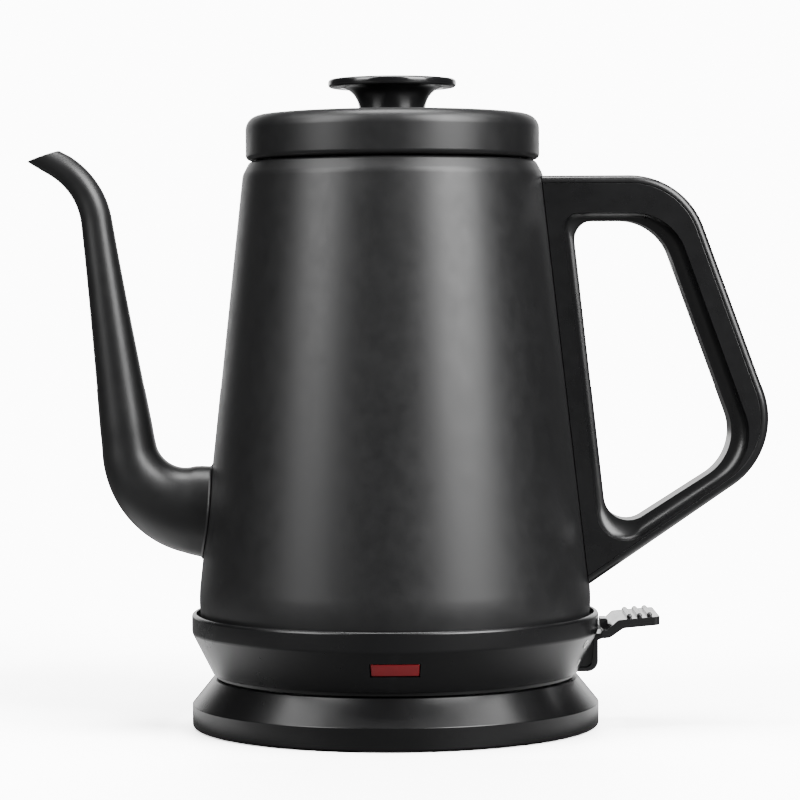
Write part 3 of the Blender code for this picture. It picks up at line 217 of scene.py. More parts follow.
handle_top = body_rim - HANDLE_TOP_DROP
collar_slope = (COLLAR_RADIUS - COLLAR_FOOT_RADIUS) / COLLAR_CONE_RISE
shroud_inner = PLUG_RADIUS + SHROUD_CLEARANCE
shroud_outer = shroud_inner + PLASTIC_WALL
shroud_roof = connector_low + PLASTIC_WALL
cover_opening = shroud_outer + SHROUD_CLEARANCE
lever_pivot = (COLLAR_FOOT_RADIUS - LEVER_PIVOT_INSET, 0.0, collar_foot + LEVER_PIVOT_HEIGHT)


def body_radius(z):
    """Outer radius of the body's cone at a height."""
    shoulder = body_rim - BODY_SHOULDER_DEPTH
    share = (z - collar_top) / (shoulder - collar_top)
    return BODY_FOOT_RADIUS + share * (BODY_SHOULDER_RADIUS - BODY_FOOT_RADIUS)


def cone_radius(z):
    """Outer radius of the collar's cone at a height."""
    return COLLAR_FOOT_RADIUS + collar_slope * (z - collar_foot)


# ---------------------------------------------------------------- outlines
def rounded(corners, closed=True, steps=8):
    """Outline through corners (a, b, fillet radius), each fillet an arc of some steps."""
    points = []
    count = len(corners)
    for i, (a, b, radius) in enumerate(corners):
        here = Vector((a, b))
        at_end = not closed and i in (0, count - 1)
        if radius <= 0 or at_end:
            points.append(here)
            continue
        before = (Vector(corners[i - 1][:2]) - here).normalized()
        after = (Vector(corners[(i + 1) % count][:2]) - here).normalized()
        half = before.angle(after) / 2
        centre = here + (before + after).normalized() * radius / math.sin(half)
        start = here + before * radius / math.tan(half) - centre
        end = here + after * radius / math.tan(half) - centre
        sweep = start.angle_signed(end)
        for k in range(steps + 1):
            turn = Matrix.Rotation(-sweep * k / steps, 2)
            points.append(centre + turn @ start)
    return points


def circle(a, b, radius, count):
    """Points of a circle about (a, b)."""
    angles = [math.tau * i / count for i in range(count)]
    return [Vector((a + radius * math.cos(t), b + radius * math.sin(t))) for t in angles]


def quarter(steps):
    """Sine and cosine of evenly spaced turns from 0 to 90 degrees."""
    turns = [math.radians(90 * k / steps) for k in range(steps + 1)]
    return [(math.sin(t), math.cos(t)) for t in turns]


def crossing(line_a, line_b):
    """Point where two lines, each given by two points, cross."""
    p, q = line_a
    r, s = line_b
    d = q - p
    e = s - r
    return p + d * ((r - p).cross(e) / d.cross(e))


def inset_line(p, q, at_p, at_q):
    """Line from p to q, moved to its right by at_p at p and by at_q at q."""
    along = (q - p).normalized()
    right = Vector((along.y, -along.x))
    return p + right * at_p, q + right * at_q


def smooth_share(value):
    """Share from 0 to 1 with a soft start and end."""
    value = min(max(value, 0.0), 1.0)
    return value * value * (3 - 2 * value)


# ---------------------------------------------------------------- making pieces
def mesh_object(name, rings, ring_shaped=False):
    """Closed surface through rings of points; a ring-shaped one joins its last ring to its first."""
    bm = bmesh.new()
    loops = [[bm.verts.new(Vector(p)) for p in ring] for ring in rings]
    spans = list(zip(loops, loops[1:]))
    if ring_shaped:
        spans.append((loops[-1], loops[0]))
    for low, high in spans:
        count = max(len(low), len(high))
        for i in range(count):
            j = (i + 1) % count
            corners = [low[i % len(low)], low[j % len(low)], high[j % len(high)], high[i % len(high)]]
            bm.faces.new(list(dict.fromkeys(corners)))
    if not ring_shaped:
        for loop in (loops[0], loops[-1]):
            if len(loop) > 2:
                bm.faces.new(loop)
    bmesh.ops.recalc_face_normals(bm, faces=bm.faces)
    mesh = bpy.data.meshes.new(name)
    bm.to_mesh(mesh)
    bm.free()
    obj = bpy.data.objects.new(name, mesh)
    bpy.context.scene.collection.objects.link(obj)
    return obj


def turned(name, profile, count=FINE_TURN, centre=(0, 0)):
    """Solid of revolution about a vertical axis, from (radius, z) points."""
    rings = []
    for radius, z in profile:
        if radius < 1e-7:
            rings.append([(centre[0], centre[1], z)])
        else:
            rings.append([(p.x, p.y, z) for p in circle(*centre, radius, count)])
    return mesh_object(name, rings, ring_shaped=profile[0][0] > 1e-7)


def extruded(name, outline, half_width, middle=0.0):
    """Outline of (x, z) points, extruded along Y."""
    sides = (middle - half_width, middle + half_width)
    return mesh_object(name, [[(x, y, z) for x, z in outline] for y in sides])


def block(name, low, high):
    """Box between two corners."""
    outline = [(low[0], low[2]), (high[0], low[2]), (high[0], high[2]), (low[0], high[2])]
    half = (high[1] - low[1]) / 2
    return extruded(name, outline, half, low[1] + half)


def stepped(name, start, end, profile, count=SMALL_TURN):
    """Turned piece on the line from start to end, from (radius, distance from start) points."""
    turn = (Vector(end) - Vector(start)).to_track_quat("Z", "Y")
    rings = []
    for r, h in profile:
        points = [Vector((p.x, p.y, h)) for p in circle(0, 0, r, count)] if r else [Vector((0, 0, h))]
        rings.append([Vector(start) + turn @ p for p in points])
    return mesh_object(name, rings, ring_shaped=profile[0][0] > 1e-7)


def sector(name, section, half_angle, steps=36):
    """Section of (radius, z) points, swept about Z on both sides of -Y."""
    rings = []
    for k in range(steps + 1):
        angle = -math.pi / 2 + half_angle * (2 * k / steps - 1)
        rings.append([(r * math.cos(angle), r * math.sin(angle), z) for r, z in section])
    return mesh_object(name, rings)


def around(count, radius, start=0.0):
    """Evenly spaced (x, y) places on a circle."""
    angles = [start + math.tau * i / count for i in range(count)]
    return [(radius * math.cos(t), radius * math.sin(t)) for t in angles]


def rod(name, start, end, radius, count=SMALL_TURN):
    """Cylinder from start to end."""
    length = (Vector(end) - Vector(start)).length
    return stepped(name, start, end, [(0, 0), (radius, 0), (radius, length), (0, length)], count)


def combine(target, tools, operation="DIFFERENCE"):
    """Booleans with tools, applied, after which the tools are gone."""
    for tool in tools:
        modifier = target.modifiers.new("Combine", "BOOLEAN")
        modifier.operation = operation
        modifier.object = tool
    apply_modifiers(target)
    for tool in tools:
        bpy.data.objects.remove(tool, do_unlink=True)
    return target


def apply_modifiers(obj):
    """Puts the evaluated mesh in place of the mesh and its modifiers."""
    bpy.context.view_layer.update()
    depsgraph = bpy.context.evaluated_depsgraph_get()
    fresh = bpy.data.meshes.new_from_object(obj.evaluated_get(depsgraph))
    obj.modifiers.clear()
    obj.data = fresh
    return obj


def soften(obj, width, segments=3, angle=40):
    """Bevels the edges that are sharper than an angle."""
    modifier = obj.modifiers.new("Softened", "BEVEL")
    modifier.width = width
    modifier.segments = segments
    modifier.limit_method = "ANGLE"
    modifier.angle_limit = math.radians(angle)
    modifier.use_clamp_overlap = True
    return apply_modifiers(obj)


def piece(obj, body, slot, material, *replaced, sharp=30):
    """Finishes a piece: shading, material, body and the CAD nodes that it stands for; the slot argument is
    not used.
    """
    mesh = obj.data
    mesh.shade_smooth()
    mesh.set_sharp_from_angle(angle=math.radians(sharp))
    weighted = obj.modifiers.new("Even_normals", "WEIGHTED_NORMAL")
    weighted.keep_sharp = True
    mesh.materials.clear()
    mesh.materials.append(material)
    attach(obj, body)
    if replaced:
        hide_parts(*replaced)
    return obj


# ---------------------------------------------------------------- materials
MAP_RANGE = ("From Min", "From Max", "To Min", "To Max")


class Nodes:
    """A material's node tree with short ways to add what these finishes need."""

    def __init__(self, name, colour, roughness, metallic=0.0, coat=0.0, coat_roughness=0.1, specular=0.5):
        self.material = bpy.data.materials.new(name)
        self.material.use_nodes = True
        self.tree = self.material.node_tree
        self.shader = self.tree.nodes["Principled BSDF"]
        self.colour = colour
        self.roughness = roughness
        self.shader.inputs["Metallic"].default_value = metallic
        self.shader.inputs["Coat Weight"].default_value = coat
        self.shader.inputs["Coat Roughness"].default_value = coat_roughness
        self.shader.inputs["Specular IOR Level"].default_value = specular
        self.shader.inputs["Base Color"].default_value = (*colour, 1)
        self.shader.inputs["Roughness"].default_value = roughness
        coordinates = self.tree.nodes.new("ShaderNodeTexCoord")
        self.place = coordinates.outputs["Object"]
        self.normal = None

    def link(self, a, b):
        self.tree.links.new(a, b)

    def stretched(self, scale):
        """Object coordinates scaled differently along each axis."""
        mapping = self.tree.nodes.new("ShaderNodeMapping")
        mapping.inputs["Scale"].default_value = scale
        self.link(self.place, mapping.inputs["Vector"])
        return mapping.outputs["Vector"]

    def noise(self, scale, detail=3.0, rough=0.5, vector=None):
        """Noise from 0 to 1; its scale is in features per metre."""
        node = self.tree.nodes.new("ShaderNodeTexNoise")
        node.inputs["Scale"].default_value = scale
        node.inputs["Detail"].default_value = detail
        node.inputs["Roughness"].default_value = rough
        self.link(vector or self.place, node.inputs["Vector"])
        return node.outputs["Fac"]

    def cells(self, scale):
        """Distance to the nearest of scattered points, for grain and pits."""
        node = self.tree.nodes.new("ShaderNodeTexVoronoi")
        node.inputs["Scale"].default_value = scale
        self.link(self.place, node.inputs["Vector"])
        return node.outputs["Distance"]

    def spread(self, value, low, high, new_low, new_high):
        """Maps a value from one range to another, clamped."""
        node = self.tree.nodes.new("ShaderNodeMapRange")
        for name, number in zip(MAP_RANGE, (low, high, new_low, new_high)):
            node.inputs[name].default_value = number
        self.link(value, node.inputs["Value"])
        return node.outputs["Result"]

    def tint(self, value, dark, light):
        """Colour between two others, the first a shade or a socket, by a value from 0 to 1."""
        node = self.tree.nodes.new("ShaderNodeMix")
        node.data_type = "RGBA"
        if isinstance(dark, tuple):
            node.inputs[6].default_value = (*dark, 1)
        else:
            self.link(dark, node.inputs[6])
        node.inputs[7].default_value = (*light, 1)
        self.link(value, node.inputs[0])
        return node.outputs[2]

    def bump(self, height, distance, strength=1.0):
        """Adds a bump on top of the bumps before it; distance is its depth in metres."""
        node = self.tree.nodes.new("ShaderNodeBump")
        node.inputs["Strength"].default_value = strength
        node.inputs["Distance"].default_value = distance
        self.link(height, node.inputs["Height"])
        if self.normal:
            self.link(self.normal, node.inputs["Normal"])
        self.normal = node.outputs["Normal"]

    def edges(self):
        """0 on flat stretches to 1 on outer edges, for wear."""
        node = self.tree.nodes.new("ShaderNodeNewGeometry")
        return self.spread(node.outputs["Pointiness"], 0.52, 0.60, 0.0, 1.0)

    def multiply(self, a, b):
        node = self.tree.nodes.new("ShaderNodeMath")
        node.operation = "MULTIPLY"
        self.link(a, node.inputs[0])
        self.link(b, node.inputs[1])
        return node.outputs[0]

    def done(self, colour=None, roughness=None):
        if colour:
            self.link(colour, self.shader.inputs["Base Color"])
        if roughness:
            self.link(roughness, self.shader.inputs["Roughness"])
        if self.normal:
            self.link(self.normal, self.shader.inputs["Normal"])
        return self.material


def shade(colour, factor):
    return tuple(channel * factor for channel in colour)


def moulded(name, colour, roughness, grain=0.000004, grain_scale=2600, coat=0.0, specular=0.5):
    """Moulded plastic: spark-eroded grain, slow tone changes and faintly polished edges."""
    m = Nodes(name, colour, roughness, coat=coat, specular=specular)
    slow = m.noise(38, 4)
    fine = m.noise(grain_scale, 2, 0.6)
    wear = m.multiply(m.edges(), m.spread(m.noise(240, 4), 0.42, 0.62, 0.0, 1.0))
    tone = m.tint(m.spread(slow, 0.3, 0.7, 0.0, 1.0), shade(colour, 0.86), shade(colour, 1.16))
    worn = m.tint(m.spread(wear, 0, 1, 0, 0.5), tone, shade(colour, 1.9))
    m.bump(fine, grain)
    m.bump(m.noise(130, 3), 0.000012, 0.35)
    rough = m.spread(m.noise(70, 5, 0.6), 0.3, 0.7, roughness * 0.90, roughness * 1.12)
    return m.done(worn, rough)


def powder(name, colour, roughness):
    """Powder coat on steel: orange peel, fine sparkle-free grain and a slow change of tone."""
    m = Nodes(name, colour, roughness, specular=0.5)
    slow = m.noise(24, 4)
    speck = m.cells(1500)
    tone = m.tint(m.spread(slow, 0.3, 0.7, 0.0, 1.0), shade(colour, 0.88), shade(colour, 1.14))
    specked = m.tint(m.spread(speck, 0.05, 0.22, 0.55, 0.0), tone, shade(colour, 1.7))
    m.bump(m.noise(1900, 3, 0.6), 0.0000085)
    m.bump(m.noise(420, 2), 0.000010, 0.5)
    rough = m.spread(m.noise(160, 5, 0.6), 0.3, 0.7, roughness * 0.92, roughness * 1.10)
    return m.done(specked, rough)


def polished(name, colour, roughness, coat=0.6):
    """Polished plastic: faint hairlines and handling smudges in the gloss."""
    m = Nodes(name, colour, roughness, coat=coat, coat_roughness=0.06)
    smudge = m.noise(55, 6, 0.65)
    hair = m.noise(900, 2, 0.5, m.stretched((1, 0.06, 1)))
    tone = m.tint(m.spread(smudge, 0.35, 0.7, 0.0, 1.0), shade(colour, 0.9), shade(colour, 1.3))
    m.bump(hair, 0.0000016, 0.5)
    m.bump(m.noise(90, 2), 0.000012, 0.3)
    rough = m.spread(smudge, 0.35, 0.7, roughness * 0.75, roughness * 1.5)
    return m.done(tone, rough)


def brushed(name, colour, roughness, scale=(1, 1, 1), lines=1400):
    """Metal with drawn lines along the axis whose scale is smallest."""
    m = Nodes(name, colour, roughness, metallic=1.0)
    line = m.noise(lines, 3, 0.6, m.stretched(scale))
    slow = m.noise(45, 4)
    tone = m.tint(m.spread(line, 0.3, 0.7, 0.0, 1.0), shade(colour, 0.82), shade(colour, 1.08))
    m.bump(line, 0.000005)
    rough = m.spread(slow, 0.3, 0.7, roughness * 0.8, roughness * 1.25)
    return m.done(tone, rough)


def rubbery(name, colour, roughness=0.75):
    """Rubber: matt, with a fine pitted skin and a patchy tone."""
    m = Nodes(name, colour, roughness, specular=0.3)
    pits = m.cells(1700)
    tone = m.tint(m.spread(m.noise(120, 5), 0.35, 0.7, 0.0, 1.0), shade(colour, 0.8), shade(colour, 1.5))
    m.bump(pits, 0.00002, 0.6)
    rough = m.spread(m.noise(300, 3), 0.3, 0.7, roughness * 0.9, min(1.0, roughness * 1.15))
    return m.done(tone, rough)


# ---------------------------------------------------------------- finishes
BLACK = (0.0050, 0.0050, 0.0053)
COATING = (0.0060, 0.0060, 0.0063)
POWDER_COAT = powder("Powder_coat", COATING, 0.39)
LID_COAT = powder("Lid_coat", COATING, 0.39)
SPOUT_COAT = powder("Spout_coat", COATING, 0.39)
COLLAR_PLASTIC = moulded("Collar_plastic", BLACK, 0.25, specular=0.40)
BASE_PLASTIC = moulded("Base_plastic", (0.0030, 0.0030, 0.0032), 0.25, specular=0.42)
INNER_PLASTIC = moulded("Inner_plastic", BLACK, 0.50, grain=0.000007, grain_scale=1900)
HANDLE_PLASTIC = moulded("Handle_plastic", BLACK, 0.28, grain=0.0000025)
GLOSS_BLACK = polished("Gloss_black", (0.0060, 0.0060, 0.0064), 0.19)
WHITE_PLASTIC = moulded("White_plastic", (0.70, 0.69, 0.65), 0.45)
STEEL = brushed("Steel", (0.58, 0.58, 0.59), 0.28, (1, 1, 0.03))
VESSEL_STEEL = brushed("Vessel_steel", (0.60, 0.60, 0.61), 0.24, (0.05, 0.05, 1))
ALUMINIUM = brushed("Aluminium", (0.74, 0.75, 0.76), 0.42, (1, 0.05, 1))
BRASS = brushed("Brass", (0.74, 0.56, 0.27), 0.28, (1, 1, 0.05))
RUBBER = rubbery("Rubber", (0.028, 0.028, 0.028))
SILICONE = rubbery("Silicone", (0.52, 0.52, 0.50), 0.55)
RED_LENS = polished("Red_lens", (0.16, 0.006, 0.009), 0.16, coat=0.8)
LAMP_GLASS = polished("Lamp_glass", (0.80, 0.70, 0.62), 0.10)
RED_LEAD = rubbery("Red_lead", (0.42, 0.03, 0.03), 0.50)
MARK_PAINT = rubbery("Mark_paint", (0.78, 0.78, 0.76), 0.50)


# ---------------------------------------------------------------- power base
def cross_recess(obj, at, towards, radius, depth):
    """Cuts a cross recess into a screw's head at a point, going in a direction."""
    turn = Vector(towards).to_track_quat("Z", "Y").to_matrix().to_4x4()
    tools = []
    for angle in (0, math.pi / 2):
        tool = block("Cross", (-radius, -radius * 0.17, -0.0005), (radius, radius * 0.17, depth))
        tool.data.transform(Matrix.Translation(at) @ turn @ Matrix.Rotation(angle, 4, "Z"))
        tools.append(tool)
    return combine(obj, tools)


def screw(name, start, end, radius, head_radius, head_height, body):
    """Pan-head screw with a cross recess, its head at start."""
    length = (Vector(end) - Vector(start)).length
    dome = head_height * 0.45
    profile = [(0, 0)]
    for sine, cosine in quarter(4):
        profile.append((head_radius - dome * (1 - sine), dome * (1 - cosine)))
    profile += [(head_radius, head_height), (radius, head_height)]
    pitch = 0.0006
    turns = int((length - head_height - 0.0006) / pitch)
    for k in range(turns):
        low = head_height + 0.0003 + k * pitch
        profile += [(radius * 0.84, low), (radius, low + pitch / 2)]
    profile += [(radius * 0.84, length - 0.0003), (radius * 0.5, length), (0, length)]
    obj = stepped(name + "_fine", start, end, profile, MEDIUM_TURN // 3)
    cross_recess(obj, Vector(start), Vector(end) - Vector(start), head_radius * 0.55, head_height * 0.7)
    return piece(obj, body, "steel", STEEL, name)


def screw_holes(places, seat, head_radius, reach, radius):
    """Tools that cut the holes for screws' heads and shanks from below."""
    tools = []
    for x, y in places:
        tools.append(rod("Head", (x, y, 0), (x, y, seat), head_radius + GAP))
        tools.append(rod("Shank", (x, y, 0), (x, y, reach), radius + GAP))
    return tools


def make_base():
    """Upper shell with its cone, rim and dish, the plate under it, feet and screws."""
    wall = PLASTIC_WALL
    cone = (BASE_RADIUS - BASE_TOP_RADIUS) / BASE_CONE_RISE
    dish_radius = BASE_TOP_RADIUS - BASE_RIM_WIDTH
    dish_slope = 0.5 * BASE_DISH_DEPTH
    bore = PLUG_RADIUS + GAP
    roof = base_top - wall
    ceiling = dish_floor - wall
    shell = turned("base_upper_shell_fine", rounded([
        (BASE_RADIUS, BASE_CLEARANCE, 0.0007),
        (BASE_RADIUS, BASE_CREASE_HEIGHT, 0.0005),
        (BASE_TOP_RADIUS, base_top, 0.0005),
        (dish_radius, base_top, 0.0008),
        (dish_radius - dish_slope, dish_floor, 0.0008),
        (bore, dish_floor, 0.0003),
        (bore, ceiling, 0),
        (dish_radius - dish_slope + wall, ceiling, 0),
        (dish_radius + wall, roof, 0),
        (BASE_TOP_RADIUS + cone * wall - wall, roof, 0),
        (BASE_RADIUS - wall, BASE_CREASE_HEIGHT, 0),
        (BASE_RADIUS - wall, BASE_CLEARANCE, 0.0003),
    ], steps=6))
    plate_radius = BASE_RADIUS - wall - GAP
    plate = turned("base_lower_plate_fine", rounded([
        (0, BASE_CLEARANCE, 0),
        (plate_radius, BASE_CLEARANCE, 0.0004),
        (plate_radius, base_plate_top, 0),
        (0, base_plate_top, 0),
    ], closed=False, steps=4))
    slot_start = (0, BASE_RADIUS - GLAND_INSET, GLAND_HEIGHT)
    slot_end = (0, BASE_RADIUS + 0.0050, GLAND_HEIGHT)
    for obj in (shell, plate):
        combine(obj, [rod("Slot", slot_start, slot_end, GLAND_RADIUS + GAP)])
    seat = BASE_CLEARANCE + FOOT_INSET
    head_seat = BASE_CLEARANCE + BASE_SCREW_HEAD_HEIGHT
    screw_places = around(BASE_SCREW_COUNT, BASE_SCREW_CIRCLE, math.radians(30))
    foot_places = around(FOOT_COUNT, FOOT_CIRCLE, math.radians(45))
    tools = screw_holes(screw_places, head_seat, BASE_SCREW_HEAD, 0.1, BASE_SCREW_RADIUS)
    for x, y in foot_places:
        tools.append(rod("Pocket", (x, y, 0), (x, y, seat), FOOT_RADIUS + GAP))
    combine(plate, tools)
    piece(shell, "base", "black_plastic", BASE_PLASTIC, "base_upper_shell")
    piece(plate, "base", "black_plastic", INNER_PLASTIC, "base_lower_plate")

    shank_top = dish_floor - wall - 0.0015
    for i, (x, y) in enumerate(screw_places):
        head_low = BASE_CLEARANCE + GAP
        screw(f"base_screw_{i + 1}", (x, y, head_low), (x, y, shank_top), BASE_SCREW_RADIUS, BASE_SCREW_HEAD,
              head_seat - 2 * GAP - head_low, "base")
    top = seat - GAP
    dimple = [(0, 0.0003), (0.0020, 0.0003), (0.0023, 0), (FOOT_RADIUS - 0.0006, 0)]
    edge = [(FOOT_RADIUS - 0.0002, 0.0002), (FOOT_RADIUS, 0.0006), (FOOT_RADIUS, top), (0, top)]
    for i, (x, y) in enumerate(foot_places):
        foot = turned(f"base_foot_{i + 1}_fine", dimple + edge, SMALL_TURN, (x, y))
        piece(foot, "base", "rubber", RUBBER, f"base_foot_{i + 1}")


def make_base_connector():
    """Boss with two ring slots and a centre hole."""
    half = SLOT_WIDTH / 2
    flange = PLUG_RADIUS + 0.0030
    flange_top = dish_floor - PLASTIC_WALL - GAP
    stand = base_plate_top + GAP
    lip = 0.0004
    profile = [(0, slot_floor, 0), (EARTH_HOLE_RADIUS, slot_floor, 0), (EARTH_HOLE_RADIUS, plug_top, lip)]
    for ring in (NEUTRAL_RING_RADIUS, LINE_RING_RADIUS):
        profile += [
            (ring - half, plug_top, lip),
            (ring - half, slot_floor, 0),
            (ring + half, slot_floor, 0),
            (ring + half, plug_top, lip),
        ]
    profile += [
        (PLUG_RADIUS, plug_top, 0.0010),
        (PLUG_RADIUS, flange_top, 0),
        (flange, flange_top, 0),
        (flange, stand, 0),
        (0, stand, 0),
    ]
    boss = turned("base_connector_fine", rounded(profile, closed=False, steps=5), MEDIUM_TURN)
    piece(boss, "base", "black_plastic", INNER_PLASTIC, "base_connector")


def make_cord_gland():
    """Grommet in the base's back with a flared mouth."""
    inner = BASE_RADIUS - GLAND_INSET
    depth = GLAND_DEPTH
    lip = 0.0006
    profile = [(GLAND_HOLE_RADIUS, 0), (GLAND_RADIUS, 0), (GLAND_RADIUS, depth - lip)]
    for sine, cosine in quarter(4)[1:]:
        profile.append((GLAND_RADIUS - lip * (1 - cosine), depth - lip * (1 - sine)))
    for sine, cosine in quarter(4):
        profile.append((GLAND_HOLE_RADIUS + lip * (1 - sine), depth - lip * (1 - cosine)))
    gland = stepped("cord_gland_fine", (0, inner, GLAND_HEIGHT), (0, inner + depth, GLAND_HEIGHT), profile)
    piece(gland, "base", "rubber", RUBBER, "cord_gland")


# ---------------------------------------------------------------- kettle-side connector
def make_kettle_connector():
    """Shroud over the base's boss, two contact rings and the earth pin."""
    lip = collar_foot + 0.0008
    shroud = turned("kettle_connector_fine", rounded([
        (0, connector_low, 0),
        (shroud_inner, connector_low, 0),
        (shroud_inner, lip, 0.0005),
        (shroud_outer, lip, 0.0005),
        (shroud_outer, shroud_roof, 0.0008),
        (0, shroud_roof, 0),
    ], closed=False, steps=4), MEDIUM_TURN)
    piece(shroud, "connector", "black_plastic", INNER_PLASTIC, "kettle_connector")
    half = RING_THICKNESS / 2
    ring_top = connector_low - GAP
    ring_low = slot_floor + 0.0012
    for name, radius in (("line", LINE_RING_RADIUS), ("neutral", NEUTRAL_RING_RADIUS)):
        ring = turned(f"contact_ring_{name}_fine", rounded([
            (radius + half, ring_low, 0.0003),
            (radius + half, ring_top, 0),
            (radius - half, ring_top, 0),
            (radius - half, ring_low, 0.0003),
        ], steps=4), MEDIUM_TURN)
        piece(ring, "connector", "brass", BRASS, "contact_ring_" + name)
    pin = turned("earth_pin_fine", rounded([
        (0, slot_floor + 0.0008, 0),
        (EARTH_PIN_RADIUS, slot_floor + 0.0008, 0.0012),
        (EARTH_PIN_RADIUS, ring_top, 0),
        (0, ring_top, 0),
    ], closed=False, steps=8), SMALL_TURN)
    piece(pin, "connector", "brass", BRASS, "earth_pin")


# ---------------------------------------------------------------- collar
def window_section(high, front, back):
    """Section of the window across the collar's wall, as (radius, z) points."""
    level = collar_foot + WINDOW_LEVEL
    lean = math.atan(collar_slope)
    along = Vector((math.sin(lean), math.cos(lean)))
    outward = Vector((math.cos(lean), -math.sin(lean)))
    middle = Vector((cone_radius(level), level))
    half = high / 2
    return [
        middle + along * half + outward * front,
        middle - along * half + outward * front,
        middle - along * half - outward * back,
        middle + along * half - outward * back,
    ]


def make_collar():
    """Ring with its band, inward cone, lever slot and window, the lens, and the bottom cover."""
    seat = body_foot - GAP - 0.0001
    inner_edge = collar_edge - 0.0002
    snap_low = cover_high + GAP
    snap_high = snap_low + 0.0015
    snap_radius = COLLAR_FOOT_RADIUS - COLLAR_WALL - 0.0022
    floor_radius = COLLAR_FOOT_RADIUS - COLLAR_WALL
    ring_radius = COLLAR_FOOT_RADIUS - FOOT_RING_INSET
    ring_low = base_top + FOOT_RING_GAP
    lip = collar_top - LIP_DROP
    collar = turned("collar_fine", rounded([
        (COLLAR_FOOT_RADIUS, collar_foot, 0.0004),
        (COLLAR_RADIUS - 0.0002, collar_edge, 0.0008),
        (COLLAR_RADIUS, collar_edge + 0.0010, 0),
        (COLLAR_RADIUS, lip, 0.0011),
        (body_radius(collar_top) + LIP_GROOVE, lip, 0.0002),
        (body_radius(seat) + GAP, seat, 0),
        (BODY_FOOT_RADIUS - 0.0025, seat, 0),
        (BODY_FOOT_RADIUS - 0.0025, seat - 0.0015, 0),
        (cone_radius(inner_edge) - COLLAR_WALL, inner_edge - 0.0012, 0),
        (cone_radius(snap_high) - COLLAR_WALL, snap_high, 0),
        (snap_radius, snap_high, 0),
        (snap_radius, snap_low, 0),
        (floor_radius, snap_low, 0),
        (floor_radius, ring_low, 0),
        (ring_radius, ring_low, 0.0003),
        (ring_radius, collar_foot, 0),
    ], steps=6))
    slot_half = LEVER_ARM_WIDTH / 2 + 0.0008
    slot = block("Slot", (lever_pivot[0] - 0.0030, -slot_half, collar_foot - 0.002),
                 (COLLAR_RADIUS + 0.002, slot_half, collar_edge - 0.0003))
    level = collar_foot + WINDOW_LEVEL
    depth = COLLAR_WALL * math.cos(math.atan(collar_slope))
    half_angle = WINDOW_WIDTH / 2 / cone_radius(level)
    margin = GAP / cone_radius(level)
    hole = sector("Hole", window_section(WINDOW_HEIGHT + 2 * GAP, 0.003, depth + 0.002), half_angle + margin)
    combine(collar, [slot, hole])
    piece(collar, "kettle", "black_plastic", COLLAR_PLASTIC, "collar")

    lens_section = window_section(WINDOW_HEIGHT, -LENS_STEP, depth + LENS_STAND)
    lens = sector("indicator_lens_fine", lens_section, half_angle)
    soften(lens, 0.00045, 4)
    piece(lens, "kettle", "red_lens", RED_LENS, "indicator_lens")

    cover = turned("collar_bottom_cover_fine", rounded([
        (floor_radius - GAP, cover_low, 0.0004),
        (floor_radius - GAP, cover_high, 0),
        (cover_opening, cover_high, 0),
        (cover_opening, cover_low, 0.0004),
    ], steps=4))
    head_seat = cover_low + COVER_SCREW_HEAD_HEIGHT
    shank_top = cover_high + COVER_SCREW_REACH
    places = around(3, cover_opening + COVER_SCREW_INSET, math.radians(60))
    combine(cover, screw_holes(places, head_seat, COVER_SCREW_HEAD, shank_top, COVER_SCREW_RADIUS))
    piece(cover, "kettle", "black_plastic", INNER_PLASTIC, "collar_bottom_cover")
    low = cover_low + GAP / 3
    for i, (x, y) in enumerate(places):
        screw(f"cover_screw_{i + 1}", (x, y, low), (x, y, shank_top), COVER_SCREW_RADIUS, COVER_SCREW_HEAD,
              head_seat - GAP - low, "kettle")


# ---------------------------------------------------------------- vessel
def body_tool(name, margin):
    """Solid cone of the body's outer form, larger by a margin."""
    low = collar_foot - 0.010
    high = body_rim + 0.020
    return turned(name, [
        (0, low),
        (body_radius(low) + margin, low),
        (body_radius(high) + margin, high),
        (0, high),
    ])


def vessel_profile(inset):
    """Body's outline from its foot up over the shoulder and round the mouth, moved into its wall."""
    shoulder = body_rim - BODY_SHOULDER_DEPTH
    flat = BODY_SHOULDER_RADIUS - 0.0024
    curl_top = collar_top + FOOT_CURL_HEIGHT
    curl = FOOT_CURL * (curl_top - body_foot) / FOOT_CURL_HEIGHT
    return [
        (body_radius(body_foot) - curl - inset, body_foot, 0),
        (body_radius(curl_top) - inset, curl_top, 0.0500),
        (body_radius(shoulder) - inset, shoulder, 0.0060 - inset),
        (flat - inset / 2, body_rim - inset, 0.0016 - inset / 2),
        (MOUTH_RADIUS + inset, body_rim - inset, 0.0012 - inset),
        (MOUTH_RADIUS + inset, body_rim - MOUTH_LIP_DEPTH, 0),
    ]


